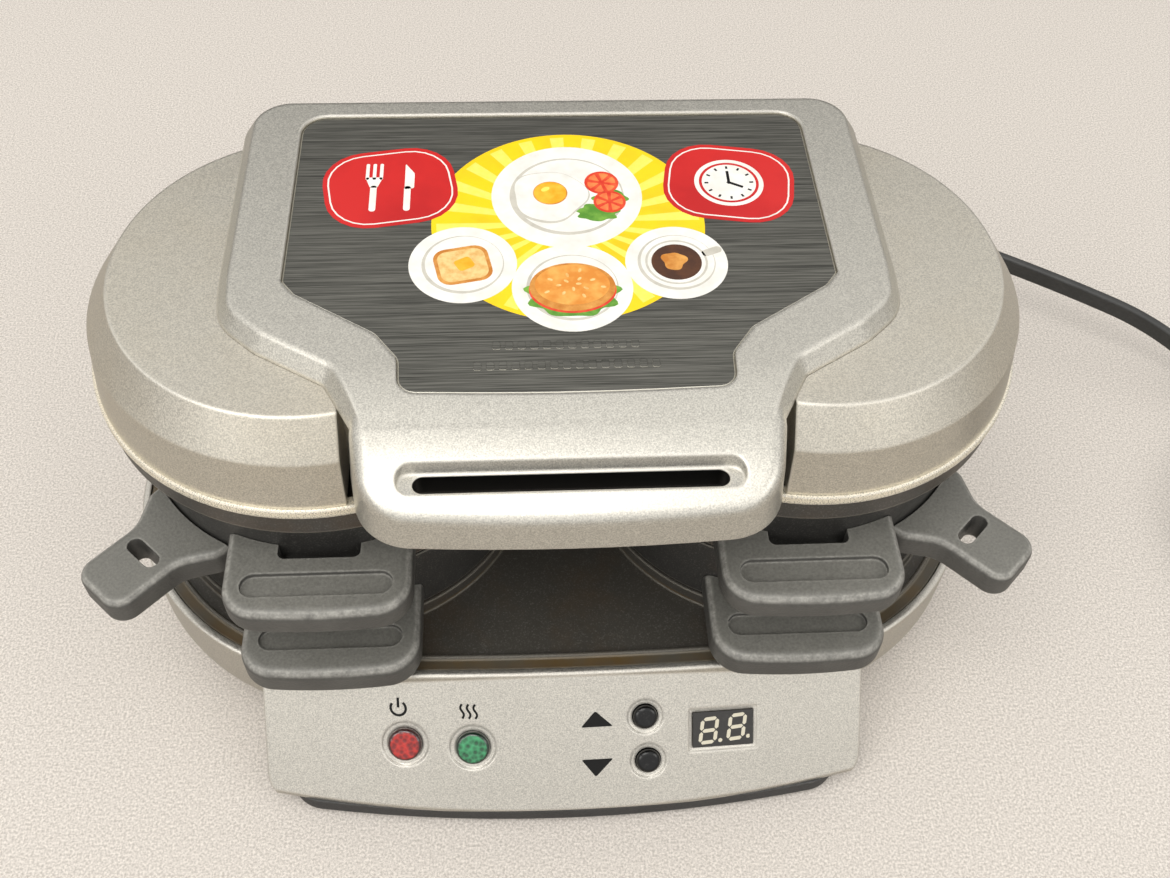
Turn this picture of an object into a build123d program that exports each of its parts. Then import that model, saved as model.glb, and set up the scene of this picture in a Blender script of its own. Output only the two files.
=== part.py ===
from build123d import *
import os
from math import asin, atan, cos, degrees, hypot, pi, radians, sin, sqrt, tan

# A two-station breakfast sandwich maker. Sizes are in millimetres.
# X runs left to right, Y from the front (negative) to the rear, Z up from the counter.
# The two stations stand left and right of x = 0 with their centres on y = 0.

# ---------------------------------------------------------------- driving dimensions
slip = 0.3  # gap between pieces that move past each other
fit_gap = 0.1  # gap between pieces that are fixed to each other
run_gap = 0.05  # radial gap of a hinge bore on its rod

# stack of one station
ring_x = 66.1  # station centre, left and right of the middle
ring_outer_r = 54.5
ring_inner_r = 51.0
ring_height = 25.0
bottom_ring_z = 45.0
plate_thickness = 3.8
plate_r = 54.0
plate_z = bottom_ring_z + ring_height + slip
top_ring_z = plate_z + plate_thickness + slip
top_ring_top = top_ring_z + ring_height

# ring handles
handle_half = 25.0
bottom_handle_y = -78.0
top_handle_y = -76.0
bottom_handle_z = (45.5, 56.0)
top_handle_z = (plate_z + plate_thickness + 2 * slip, 84.4)
handle_corner_r = 10.0
handle_bow = 1.8
notch_half = 11.0
notch_y = 58.0
groove_half = 20.0
groove_y = (62.5, 69.5)
groove_depth = 1.6
tang_x = 17.0  # middle of each ring tang, from the station centre
tang_half = 4.0
tang_reach = 67.0
tang_thickness = 3.0
handle_screw_y = tang_reach - 5.0

# cooking plate handles and pivots
plate_handle_angle = 225.5  # direction of the left plate's handle, seen from above
plate_handle_z = (67.0, 77.0)
plate_handle_tip = 86.5
plate_handle_half = 9.6
plate_root_half = 16.5
plate_root_r = ring_outer_r + 0.5
plate_slot_u = 70.0
plate_slot_size = (4.6, 11.5)
pivot_r = 62.0  # pivot pin, from the station centre, at 45 degrees to the rear and outside
pivot_offset = pivot_r * cos(radians(45))
pin_r = 3.0
pivot_lug_r = 6.5
pivot_lug_top = 90.0

# base
lobe_x = 60.5
rim_r = 71.0
rim_z = 41.4
front_bow = 1.6  # how far the middle of the bowl's front bows out
base_floor = 4.0
bowl_radius = 20.0
wall = 2.2
lower_plate_edge = wall + slip  # inside the rim
lower_flange_z = 40.6
lower_flange_width = 3.5
lower_lip_width = 1.2  # raised lip inside the flange
lower_floor = 1.8
lower_plate_z = (38.0, 41.5)
lower_pad_top = bottom_ring_z - slip
rear_box = (44.0, 100.2)  # half width and rear face
rear_corner_r = 12.0
rear_deck_z = rim_z - 0.4
foot_height = 2.4

# sloping control panel
panel_top = (-72.1, 40.9)  # y, z of its top edge on the middle line
panel_foot = (-100.2, 9.8)
panel_half = 88.5
panel_curve = 1.26e-3  # the panel's front is y = foot + curve * x * x
panel_corner_r = 12.5
panel_wall = 2.4
console_back = -38.0
console_underside = 8.0
board_depth = 10.0

# hinge at the rear
rod_y = 82.0
rod_z = 88.0
rod_r = 3.0
rod_boss_r = 7.0
rod_half = 39.0
tower_half = 16.0
arm_width = 6.0
arm_gap = 0.4

# lid
skirt_r = 60.8
skirt_waist = 49.0
skirt_z = 100.4
skirt_top = 107.9
pad_z = top_ring_top + slip
bead_r = 61.7
bead_z = (108.0, 111.0)
cover_foot_r = 60.9
cover_line_2 = (58.9, 126.0)  # lower crease of the lobes: radius, height
cover_line_1 = (51.8, 136.0)  # upper crease of the lobes
cover_rear = 60.9
handle_bay_half = 55.3
handle_bay_y = -46.0
deck_rise = 5.0  # height of the raised deck above the lobes
deck_top = cover_line_1[1] + deck_rise
deck_wall = 3.5  # how far the deck's wall leans out at its foot
deck_rear = 61.5  # rear edge of the deck's flat top
insert_recess = 1.8
insert_thickness = 1.1
grip_z = (117.0, 126.0)
shell_wall = 2.6
lid_screw_spots = [(-8, -30), (8, -30), (0, 50)]
handle_front = -80.5
handle_under = 119.2
handle_round = (-42.0, -80.0, 129.0)  # start and end of the curved top, and the end's height
slot_half = 37.0
slot_y = (-68.0, -73.0)
slot_dish_z = 133.0  # ledge of the shallow dish round the slot
slot_dish_lip = (3.4, 0.6)  # beyond the slot at its ends and along its sides
slot_dish_lean = 20
handle_edge = 4.0  # round edge of the handle
neck_foot = (45.8, -60.0)  # corner of the deck, sunk into the handle
neck_flat = 30.0
slot_collar = 4.0

# cord
relief_neck_r = 6.0
cord_width = 7.6
cord_thickness = 3.8
cord_route = [
    (24.0, 122.0, 22.0),
    (24.0, 156.0, 22.0),
    (47.9, 181.6, 22.5),
    (85.8, 184.3, 23.5),
    (120.0, 157.0, 25.0),
    (160.0, 122.5, 26.0),
    (200.0, 96.5, 24.0),
    (238.0, 71.5, 16.5),
    (268.0, 45.5, 3.8),
    (293.9, 26.7, 3.8),
]
coil_outer_r = 47.0
coil_pitch = 9.0  # how much closer the turns lie after one turn inwards
coil_layer = 8.1  # height of one layer
coil_tail = 38.0  # straight end that carries the plug clear of the turns
coil_quarters = 8  # quarter turns of the whole coil, the middle two of which climb a layer

os.makedirs("parts", exist_ok=True)


# ---------------------------------------------------------------- shared shapes
def peanut(radius, waist, rear):
    """Two round lobes joined across the middle, waisted at the front and straight at the rear."""
    with BuildSketch() as outline:
        with Locations((-ring_x, 0), (ring_x, 0)):
            Circle(radius)
        with Locations((0, (rear - waist) / 2)):
            Rectangle(2 * ring_x, rear + waist)
        waist_x = ring_x - sqrt(radius**2 - waist**2)
        with BuildLine():
            Polyline(
                (-ring_x, -radius - 1),
                (-ring_x, -radius),
                (-waist_x, -waist),
                (waist_x, -waist),
                (ring_x, -radius),
                (ring_x, -radius - 1),
                close=True,
            )
        make_face(mode=Mode.SUBTRACT)
        with Locations((-ring_x, 0), (ring_x, 0)):
            Circle(radius)
        corners = [v for v in outline.vertices() if abs(v.Y + waist) < 0.01 and abs(v.X) < waist_x + 1]
        fillet(corners, 12)
    return outline.sketch


def round_tube(points, radii, radius):
    """A round tube along straight runs joined by arcs."""
    with BuildPart() as tube:
        with BuildLine() as path:
            FilletPolyline(*points, radius=radii)
        line = path.line
        with BuildSketch(Plane(line @ 0, z_dir=line % 0)):
            Circle(radius)
        sweep(path=line)
    return tube.part


def element_loop(height):
    """A sheathed heating element, bent to one loop under both stations."""
    ends = 12.0
    side = 40.0
    reach = 98.0
    points = [
        (-ends, 56, height),
        (-ends, side, height),
        (-reach, side, height),
        (-reach, -side, height),
        (reach, -side, height),
        (reach, side, height),
        (ends, side, height),
        (ends, 56, height),
    ]
    return round_tube(points, [8, 36, 36, 36, 36, 8], element_r)


def panel_axes(x, s):
    """Plane on the control panel at x and s down the slope, its Z axis square to the curved face."""
    down_y = panel_foot[0] - panel_top[0]
    down_z = panel_foot[1] - panel_top[1]
    slope = hypot(down_y, down_z)
    down = (down_y / slope, down_z / slope)
    y = panel_top[0] + down[0] * s + panel_curve * x * x
    z = panel_top[1] + down[1] * s
    lean = 2 * panel_curve * x * -down[1]
    normal = Vector(lean, down[1], -down[0])
    across = Vector(1, 0, 0) - Vector(0, down[1], -down[0]) * lean
    return Plane(origin=(x, y, z), x_dir=across, z_dir=normal)


def console(inset, top_cut, underside):
    """The sloping console, moved in from its outer faces by inset."""
    drop = inset * panel_slope / (panel_top[1] - panel_foot[1])
    front = panel_foot[0] + drop
    half = panel_half - inset
    bow = panel_curve * half * half
    climb = panel_top[1] - top_cut - panel_foot[1]
    lean = (panel_top[0] - panel_foot[0]) / (panel_top[1] - panel_foot[1])
    with BuildPart() as body:
        with BuildSketch(Plane.XY.offset(panel_foot[1])) as plan:
            with BuildLine():
                ThreePointArc((-half, front + bow), (0, front), (half, front + bow))
                Polyline((half, front + bow), (half, console_back), (-half, console_back), (-half, front + bow))
            make_face()
        extrude(amount=climb * sqrt(1 + lean**2), dir=(0, lean, 1))
        extrude(plan.sketch, amount=underside - panel_foot[1])
        with BuildSketch(panel_axes(0, 0)):
            with BuildLine():
                FilletPolyline(
                    (-half, 70),
                    (-half, -panel_slope - 0.2 + inset),
                    (half, -panel_slope - 0.2 + inset),
                    (half, 70),
                    radius=[panel_corner_r - inset, panel_corner_r - inset],
                )
                Line((half, 70), (-half, 70))
            make_face()
        extrude(amount=60, both=True, mode=Mode.INTERSECT)
    return body.part


def bowl_outline(shrink):
    """Outline of the bowl, whose front bows outward, shrunk by shrink."""
    end_r = rim_r - shrink
    centre_y = (lobe_x**2 - front_bow**2) / (2 * front_bow)
    reach = (centre_y + front_bow + end_r) / (centre_y + front_bow)
    corner = (reach * lobe_x, centre_y - reach * centre_y)
    with BuildSketch() as outline:
        with BuildLine():
            ThreePointArc((-corner[0], corner[1]), (0, -end_r - front_bow), corner)
            ThreePointArc(corner, (lobe_x + end_r, 0), (lobe_x, end_r))
            Line((lobe_x, end_r), (-lobe_x, end_r))
            ThreePointArc((-lobe_x, end_r), (-lobe_x - end_r, 0), (-corner[0], corner[1]))
        make_face()
    return outline.sketch


def screw(x, y, head_z, length, shank_r, upward=True):
    """A pan-head screw whose head starts at head_z."""
    way = 1 if upward else -1
    with BuildPart() as fastener:
        with BuildSketch(Plane.XY.offset(head_z)):
            with Locations((x, y)):
                Circle(1.9 * shank_r)
        extrude(amount=way * 1.6)
        with BuildSketch(Plane.XY.offset(head_z + way * 1.6)):
            with Locations((x, y)):
                Circle(shank_r)
        extrude(amount=way * (length - 1.6))
        with BuildSketch(Plane.XY.offset(head_z)):
            with Locations((x, y)):
                Rectangle(2.2 * shank_r, 0.8)
                Rectangle(0.8, 2.2 * shank_r)
        extrude(amount=way * 0.7, mode=Mode.SUBTRACT)
    return fastener.part


panel_slope = hypot(panel_foot[0] - panel_top[0], panel_foot[1] - panel_top[1])
element_r = 3.3


def save(part, name):
    part.label = name
    export_step(part, f"parts/{name}.step")


# ---------------------------------------------------------------- base housing
lens_spots = {"red_lens": (-47.4, 22.4), "green_lens": (-27.7, 22.4)}
button_spots = {"up_button": (22.8, 14.5), "down_button": (23.6, 28.2)}
display_spot = (46.0, 21.0)
lens_r = 5.0
lens_flange_r = 6.4
button_r = 3.6
button_flange_r = 5.0
display_size = (18.2, 10.8)

with BuildPart() as base_cavity:
    with BuildSketch(Plane.XY.offset(base_floor + wall)):
        add(bowl_outline(wall))
    extrude(amount=rim_z - 2.0 - base_floor - wall)
    fillet(base_cavity.edges().group_by(Axis.Z)[0], bowl_radius - wall)
    with BuildSketch(Plane.XY.offset(rim_z - 3)):
        add(bowl_outline(wall))
    extrude(amount=6)
    add(console(panel_wall, 2.4, console_underside))
    with BuildSketch(Plane.XY.offset(console_underside - 6)):
        with Locations((0, -74)):
            Rectangle(140, 24)
    extrude(amount=12)
    with BuildSketch(Plane.XY.offset(base_floor + wall)):
        with Locations((0, rear_box[1] / 2 + 20)):
            Rectangle(2 * (rear_box[0] - wall), rear_box[1] - 40 - 2 * wall)
    extrude(amount=rim_z - 2 - base_floor - wall)

with BuildPart() as base_housing:
    with BuildSketch(Plane.XY.offset(base_floor)):
        add(bowl_outline(0))
    extrude(amount=rim_z - base_floor)
    fillet(base_housing.edges().group_by(Axis.Z)[0], bowl_radius)
    fillet(base_housing.edges().group_by(Axis.Z)[-1], 0.8)
    with BuildSketch(Plane.XY.offset(base_floor)) as rear_plan:
        with Locations((0, (rear_box[1] + 40) / 2)):
            Rectangle(2 * rear_box[0], rear_box[1] - 40)
        fillet(rear_plan.vertices().group_by(Axis.Y)[-1], rear_corner_r)
    extrude(amount=rear_deck_z - base_floor)
    add(console(0, 0, console_underside))
    add(base_cavity.part, mode=Mode.SUBTRACT)
    with BuildSketch(Plane.XY.offset(base_floor - 1)):
        SlotCenterToCenter(2 * lobe_x, 70)
    extrude(amount=wall + 2, mode=Mode.SUBTRACT)
    for spot in lens_spots.values():
        with Locations(panel_axes(*spot)):
            Cylinder(lens_r + fit_gap, 12, mode=Mode.SUBTRACT)
            Cylinder(lens_r + 1.8, 1.0, mode=Mode.SUBTRACT)
    for spot in button_spots.values():
        with Locations(panel_axes(*spot)):
            Cylinder(button_r + slip, 12, mode=Mode.SUBTRACT)
            Cylinder(button_r + 1.7, 0.9, mode=Mode.SUBTRACT)
    with Locations(panel_axes(*display_spot)):
        Box(display_size[0] + 2 * fit_gap, display_size[1] + 2 * fit_gap, 12, mode=Mode.SUBTRACT)
        Box(display_size[0] + 2.4, display_size[1] + 2.4, 1.0, mode=Mode.SUBTRACT)
    with Locations(Plane(origin=(cord_route[0][0], rear_box[1], cord_route[0][2]), z_dir=(0, 1, 0))):
        Cylinder(relief_neck_r + fit_gap, 12, mode=Mode.SUBTRACT)
save(base_housing.part, "base_housing")

# black base tray, its plate under the bowl and its upstand under the console
tray_top = console_underside - fit_gap
with BuildPart() as base_tray:
    with BuildSketch(Plane.XY.offset(foot_height)):
        SlotCenterToCenter(2 * lobe_x, 88)
        with Locations((0, 60)):
            Rectangle(76, 66)
    extrude(amount=base_floor - fit_gap - foot_height)
    with BuildSketch(Plane.XY.offset(foot_height)) as foot_plan:
        with BuildLine():
            ThreePointArc((-83, -92.5), (0, panel_foot[0] + 0.4), (83, -92.5))
            Polyline((83, -92.5), (83, -64), (-83, -64), (-83, -92.5))
        make_face()
        fillet(foot_plan.vertices().group_by(Axis.Y)[0], 11)
    extrude(amount=tray_top - foot_height)
    with BuildSketch(Plane.XY.offset(base_floor + 0.6)):
        with Locations((0, -77)):
            Rectangle(136, 22)
    extrude(amount=10, mode=Mode.SUBTRACT)
    with BuildSketch(Plane.XY.offset(foot_height)):
        with Locations((0, -52)):
            Rectangle(150, 30)
    extrude(amount=base_floor - fit_gap - foot_height)
save(base_tray.part, "base_tray")

foot_spots = [(-68, -84), (68, -84), (-30, 84), (30, 84)]
with BuildPart() as rubber_feet:
    with BuildSketch(Plane.XY):
        with Locations(*foot_spots):
            Circle(7)
    extrude(amount=foot_height)
save(rubber_feet.part, "rubber_feet")

# ---------------------------------------------------------------- lower heating plate
lower_lip_edge = lower_plate_edge + lower_flange_width
with BuildPart() as lower_heating_plate:
    with BuildSketch(Plane.XY.offset(lower_plate_z[0])):
        add(bowl_outline(lower_plate_edge))
    extrude(amount=lower_flange_z - lower_plate_z[0])
    with BuildSketch(Plane.XY.offset(lower_plate_z[0])):
        add(bowl_outline(lower_lip_edge))
    extrude(amount=lower_plate_z[1] - lower_plate_z[0])
    with BuildSketch(Plane.XY.offset(lower_plate_z[0] + lower_floor)):
        add(bowl_outline(lower_lip_edge + lower_lip_width))
    extrude(amount=10, mode=Mode.SUBTRACT)
    fillet(lower_heating_plate.edges().group_by(Axis.Z)[-1], 0.4)
    with BuildSketch(Plane.XY.offset(lower_plate_z[0])):
        with Locations((-ring_x, 0), (ring_x, 0)):
            Circle(55.5)
    extrude(amount=lower_pad_top - lower_plate_z[0])
save(lower_heating_plate.part, "lower_heating_plate")

lower_element_z = lower_plate_z[0] - fit_gap - element_r
save(element_loop(lower_element_z), "lower_element")

shield_z = lower_element_z - element_r - 1.2
with BuildPart() as lower_heat_shield:
    with BuildSketch(Plane.XY.offset(shield_z - 0.8)):
        SlotCenterToCenter(2 * lobe_x, 2 * (rim_r - 7.2))
        with Locations((-12, 50), (12, 50)):
            Circle(4, mode=Mode.SUBTRACT)
    extrude(amount=0.8)
save(lower_heat_shield.part, "lower_heat_shield")

with BuildPart() as lower_thermostat:
    with BuildSketch(Plane.XY.offset(shield_z + fit_gap)):
        Circle(8)
    extrude(amount=lower_plate_z[0] - fit_gap - shield_z - fit_gap)
save(lower_thermostat.part, "lower_thermostat")

# ---------------------------------------------------------------- control panel pieces
board_plane = panel_axes(0, 0).offset(-board_depth)
with BuildPart() as control_board:
    with Locations(board_plane):
        with Locations((0, -18.5, -0.8)):
            Box(140, 27, 1.6)
save(control_board.part, "control_board")


def on_board(spot):
    """Point of the board's top face under a spot of the panel."""
    return (spot[0], -spot[1], 0)


with BuildPart() as indicator_leds:
    with Locations(board_plane):
        with Locations(*[on_board(spot) for spot in lens_spots.values()]):
            Cylinder(2.5, 2.2, align=(Align.CENTER, Align.CENTER, Align.MIN))
save(indicator_leds.part, "indicator_leds")

with BuildPart() as tact_switches:
    with Locations(board_plane):
        with Locations(*[on_board(spot) for spot in button_spots.values()]):
            Box(6, 6, 3.0, align=(Align.CENTER, Align.CENTER, Align.MIN))
save(tact_switches.part, "tact_switches")

with BuildPart() as relay:
    with Locations(board_plane):
        with Locations((-2, -20, 0)):
            Box(15, 19, 6, align=(Align.CENTER, Align.CENTER, Align.MIN))
save(relay.part, "relay")

with BuildPart() as display_module:
    with Locations(board_plane):
        with Locations((display_spot[0], -display_spot[1], 0)):
            Box(20.4, 13.0, 4.2, align=(Align.CENTER, Align.CENTER, Align.MIN))
save(display_module.part, "display_module")

for name, spot in lens_spots.items():
    with BuildPart() as lens:
        with Locations(panel_axes(*spot)):
            with Locations((0, 0, -3.2)):
                Cylinder(lens_r, 4.6, align=(Align.CENTER, Align.CENTER, Align.MIN))
        fillet(lens.edges().sort_by(Axis((0, 0, 0), (0, -0.742, 0.67)))[-1], 1.2)
        with Locations(panel_axes(*spot)):
            with Locations((0, 0, -4.4)):
                Cylinder(lens_flange_r, 1.2, align=(Align.CENTER, Align.CENTER, Align.MIN))
    save(lens.part, name)

for name, spot in button_spots.items():
    with BuildPart() as button:
        with Locations(panel_axes(*spot)):
            with Locations((0, 0, -4.0)):
                Cylinder(button_r, 5.4, align=(Align.CENTER, Align.CENTER, Align.MIN))
        fillet(button.edges().sort_by(Axis((0, 0, 0), (0, -0.742, 0.67)))[-1], 1.3)
        with Locations(panel_axes(*spot)):
            with Locations((0, 0, -4.2)):
                Cylinder(button_flange_r, 1.2, align=(Align.CENTER, Align.CENTER, Align.MIN))
            with Locations((0, 0, -5.8)):
                Cylinder(1.8, 2.2, align=(Align.CENTER, Align.CENTER, Align.MIN))
    save(button.part, name)

with BuildPart() as display_window:
    with Locations(panel_axes(*display_spot)):
        with Locations((0, 0, -2.0)):
            Box(display_size[0], display_size[1], 2.0, align=(Align.CENTER, Align.CENTER, Align.MIN))
save(display_window.part, "display_window")

# ---------------------------------------------------------------- hinge tower, rod and its clips
with BuildPart() as hinge_tower:
    with BuildSketch(Plane.YZ):
        with BuildLine():
            Polyline(
                (rim_r + 0.4, rear_deck_z),
                (rod_y + 13, rear_deck_z),
                (94, 72),
                (rod_y + 8, rod_z),
                (rod_y - 8, rod_z),
                (72, 72),
                close=True,
            )
        make_face()
        with Locations((rod_y, rod_z)):
            Circle(8)
    extrude(amount=tower_half, both=True)
    with BuildSketch(Plane.YZ):
        with Locations((rod_y, rod_z)):
            Circle(rod_r + run_gap)
    extrude(amount=tower_half + 1, both=True, mode=Mode.SUBTRACT)
    with BuildSketch(Plane.XY.offset(rim_z - 1)):
        with Locations((0, 83)):
            Rectangle(22, 14)
    extrude(amount=30, mode=Mode.SUBTRACT)
save(hinge_tower.part, "hinge_tower")

with BuildPart() as hinge_rod:
    with BuildSketch(Plane.YZ):
        with Locations((rod_y, rod_z)):
            Circle(rod_r)
    extrude(amount=rod_half, both=True)
save(hinge_rod.part, "hinge_rod")

clip_width = 2.4
with BuildPart() as rod_clips:
    for side in (-1, 1):
        with BuildSketch(Plane.YZ.offset(side * (rod_half - clip_width / 2 - 0.4))):
            with Locations((rod_y, rod_z)):
                Circle(5.2)
                Circle(rod_r + run_gap, mode=Mode.SUBTRACT)
        extrude(amount=clip_width / 2, both=True)
save(rod_clips.part, "rod_clips")

lid_arm = tower_half + arm_gap
bottom_arm = lid_arm + arm_width + arm_gap
top_arm = bottom_arm + arm_width + arm_gap


# ---------------------------------------------------------------- rings
def ring(side, z, arm_start, arm_outline, top):
    """One ring with its hinge arm, two handle tangs and, on a top ring, the plate's pivot lug."""
    x = side * ring_x
    tang_z = sum(top_handle_z if top else bottom_handle_z) / 2
    with BuildPart() as body:
        with BuildSketch(Plane.XY.offset(z)):
            with Locations((x, 0)):
                Circle(ring_outer_r)
        extrude(amount=ring_height)
        with BuildSketch(Plane.YZ.offset(side * (arm_start + arm_width / 2))):
            with BuildLine():
                Polyline(*arm_outline, close=True)
            make_face()
            with Locations((rod_y, rod_z)):
                Circle(rod_boss_r)
        extrude(amount=arm_width / 2, both=True)
        with BuildSketch(Plane.YZ.offset(side * (arm_start + arm_width / 2))):
            with Locations((rod_y, rod_z)):
                Circle(rod_r + run_gap)
        extrude(amount=arm_width, both=True, mode=Mode.SUBTRACT)
        if top:
            pivot = (x + side * pivot_offset, pivot_offset)
            with BuildSketch(Plane.XY.offset(top_ring_z + 1.0)):
                with Locations(pivot):
                    Circle(pivot_lug_r)
                with Locations((x + side * (pivot_offset - 5), pivot_offset - 5)):
                    Rectangle(14, 2 * pivot_lug_r, rotation=45 * side)
            extrude(amount=pivot_lug_top - top_ring_z - 1.0)
            with BuildSketch(Plane.XY.offset(top_ring_z)):
                with Locations(pivot):
                    Circle(pin_r + run_gap)
            extrude(amount=ring_height, mode=Mode.SUBTRACT)
        with BuildSketch(Plane.XY.offset(tang_z)):
            for way in (-1, 1):
                with Locations((x + way * tang_x, -(tang_reach + 48) / 2)):
                    Rectangle(2 * tang_half, tang_reach - 48)
        extrude(amount=tang_thickness / 2, both=True)
        with BuildSketch(Plane.XY.offset(z - 1)):
            with Locations((x, 0)):
                Circle(ring_inner_r)
        extrude(amount=ring_height + 2, mode=Mode.SUBTRACT)
        with BuildSketch(Plane.XY.offset(tang_z)):
            with Locations(*[(x + way * tang_x, -handle_screw_y) for way in (-1, 1)]):
                Circle(1.5 + fit_gap)
        extrude(amount=tang_thickness, both=True, mode=Mode.SUBTRACT)
    return body.part


def ring_handle(side, front, z_low, z_high):
    """A moulded handle that wraps the front of a ring, with a gap behind its grip and a groove on top."""
    x = side * ring_x
    tang_z = (z_low + z_high) / 2
    with BuildPart() as body:
        with BuildSketch(Plane.XY.offset(z_low)) as plan:
            with BuildLine():
                corner = front + handle_bow
                ThreePointArc((x - handle_half, corner), (x, front), (x + handle_half, corner))
                Polyline(
                    (x + handle_half, corner),
                    (x + handle_half, -40),
                    (x - handle_half, -40),
                    (x - handle_half, corner),
                )
            make_face()
            fillet(plan.vertices().filter_by(lambda v: v.Y < -60), handle_corner_r)
        extrude(amount=z_high - z_low)
        fillet(body.faces().sort_by(Axis.Z)[-1].edges().filter_by(lambda e: e.center().Y < -45), 3)
        fillet(body.faces().sort_by(Axis.Z)[0].edges().filter_by(lambda e: e.center().Y < -45), 2.5)
        with BuildSketch(Plane.XY.offset(z_low)) as gap:
            with Locations((x, 0)):
                Circle(ring_outer_r + fit_gap)
            with Locations((x, -notch_y / 2)):
                Rectangle(2 * notch_half, notch_y)
            fillet(gap.vertices().group_by(Axis.Y)[0], 2)
        extrude(amount=z_high - z_low, mode=Mode.SUBTRACT)
        with BuildSketch(Plane.XY.offset(z_high)):
            with Locations((x, -(groove_y[0] + groove_y[1]) / 2)):
                SlotOverall(2 * groove_half, groove_y[1] - groove_y[0])
        extrude(amount=-groove_depth, mode=Mode.SUBTRACT)
        with BuildSketch(Plane.XY.offset(tang_z)):
            for way in (-1, 1):
                with Locations((x + way * tang_x, -(tang_reach + 40) / 2)):
                    Rectangle(2 * (tang_half + fit_gap), tang_reach + 2 * fit_gap - 40)
        extrude(amount=tang_thickness / 2 + fit_gap, both=True, mode=Mode.SUBTRACT)
        with BuildSketch(Plane.XY.offset(z_low)):
            with Locations(*[(x + way * tang_x, -handle_screw_y) for way in (-1, 1)]):
                Circle(3.2)
        extrude(amount=2.0, mode=Mode.SUBTRACT)
        with BuildSketch(Plane.XY.offset(z_low)):
            with Locations(*[(x + way * tang_x, -handle_screw_y) for way in (-1, 1)]):
                Circle(1.5 + fit_gap)
        extrude(amount=7.4, mode=Mode.SUBTRACT)
    return body.part


def ring_screws(side, z_low):
    """The two screws that hold a ring handle on its tangs."""
    x = side * ring_x
    with BuildPart() as pair:
        for way in (-1, 1):
            add(screw(x + way * tang_x, -handle_screw_y, z_low + 0.3, 7.0, 1.5))
    return pair.part


bottom_arm_outline = [
    (30, 48),
    (52, 48),
    (rod_y + 5, rod_z - 5),
    (rod_y - 5, rod_z + 5),
    (48, 66),
    (30, 66),
]
top_arm_outline = [
    (36, top_ring_z + 2),
    (62, top_ring_z + 2),
    (rod_y + 1, rod_z - 7),
    (rod_y + 1, rod_z + 7),
    (36, rod_z + 8),
]


# ---------------------------------------------------------------- cooking plates
def cooking_plate(side):
    """A flat round plate with a pivot lug at the rear and a tang for its handle at the front."""
    x = side * ring_x
    tang = Plane(origin=(x, 0, plate_z), x_dir=handle_direction(side), z_dir=(0, 0, 1))
    with BuildPart() as body:
        with BuildSketch(Plane.XY.offset(plate_z)):
            with Locations((x, 0)):
                Circle(plate_r)
            with Locations((x + side * pivot_offset, pivot_offset)):
                Circle(pivot_lug_r)
            with Locations((x + side * (pivot_offset - 5), pivot_offset - 5)):
                Rectangle(14, 2 * pivot_lug_r, rotation=45 * side)
        extrude(amount=plate_thickness)
        with BuildSketch(tang.offset(0.7)):
            with Locations((58, 0)):
                Rectangle(13, 11)
        extrude(amount=2.4)
        with BuildSketch(Plane.XY.offset(plate_z)):
            with Locations((x + side * pivot_offset, pivot_offset)):
                Circle(pin_r + fit_gap)
        extrude(amount=plate_thickness, mode=Mode.SUBTRACT)
        with BuildSketch(tang.offset(-1)):
            with Locations((61, 0)):
                Circle(1.5 + fit_gap)
        extrude(amount=6, mode=Mode.SUBTRACT)
    return body.part


def handle_direction(side):
    """Unit direction of a plate's handle, seen from above."""
    angle = radians(plate_handle_angle)
    return (-side * cos(angle), sin(angle), 0)


def plate_handle(side):
    """A stubby moulded handle with a curved root that hugs the plate's edge."""
    x = side * ring_x
    across = Plane(origin=(x, 0, plate_handle_z[0]), x_dir=handle_direction(side), z_dir=(0, 0, 1))
    height = plate_handle_z[1] - plate_handle_z[0]
    with BuildPart() as body:
        with BuildSketch(across) as plan:
            with BuildLine():
                FilletPolyline(
                    (45, -plate_root_half),
                    (57, -plate_root_half + 1),
                    (66, -plate_handle_half),
                    (plate_handle_tip, -plate_handle_half),
                    (plate_handle_tip, plate_handle_half),
                    (66, plate_handle_half),
                    (57, plate_root_half - 1),
                    (45, plate_root_half),
                    radius=[4, 10, 5.5, 5.5, 10, 4],
                )
                Line((45, plate_root_half), (45, -plate_root_half))
            make_face()
        extrude(amount=height)
        fillet(body.faces().sort_by(Axis.Z)[-1].edges().filter_by(lambda e: distance_out(e, x) > 52), 2.6)
        fillet(body.faces().sort_by(Axis.Z)[0].edges().filter_by(lambda e: distance_out(e, x) > 52), 2.2)
        with BuildSketch(across.offset(-1)):
            Circle(plate_root_r)
        extrude(amount=height + 2, mode=Mode.SUBTRACT)
        with BuildSketch(across.offset(-1)):
            with Locations((plate_slot_u, 0)):
                SlotOverall(plate_slot_size[1], plate_slot_size[0], rotation=90)
        extrude(amount=height + 2, mode=Mode.SUBTRACT)
        with BuildSketch(across.offset(plate_z + 0.7 - fit_gap - plate_handle_z[0])):
            with Locations((55, 0)):
                Rectangle(19.4, 11 + 2 * fit_gap)
        extrude(amount=2.4 + 2 * fit_gap, mode=Mode.SUBTRACT)
        with BuildSketch(across):
            with Locations((61, 0)):
                Circle(1.5 + fit_gap)
        extrude(amount=8, mode=Mode.SUBTRACT)
        with BuildSketch(across):
            with Locations((61, 0)):
                Circle(3.2)
        extrude(amount=2, mode=Mode.SUBTRACT)
    return body.part


def distance_out(edge, x):
    """How far an edge's middle is from a station's centre."""
    middle = edge.center()
    return hypot(middle.X - x, middle.Y)


def plate_screw(side):
    """The screw that holds a plate's handle on its tang."""
    way = handle_direction(side)
    return screw(side * ring_x + 61 * way[0], 61 * way[1], plate_handle_z[0] + 0.3, 7.4, 1.5)


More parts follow.
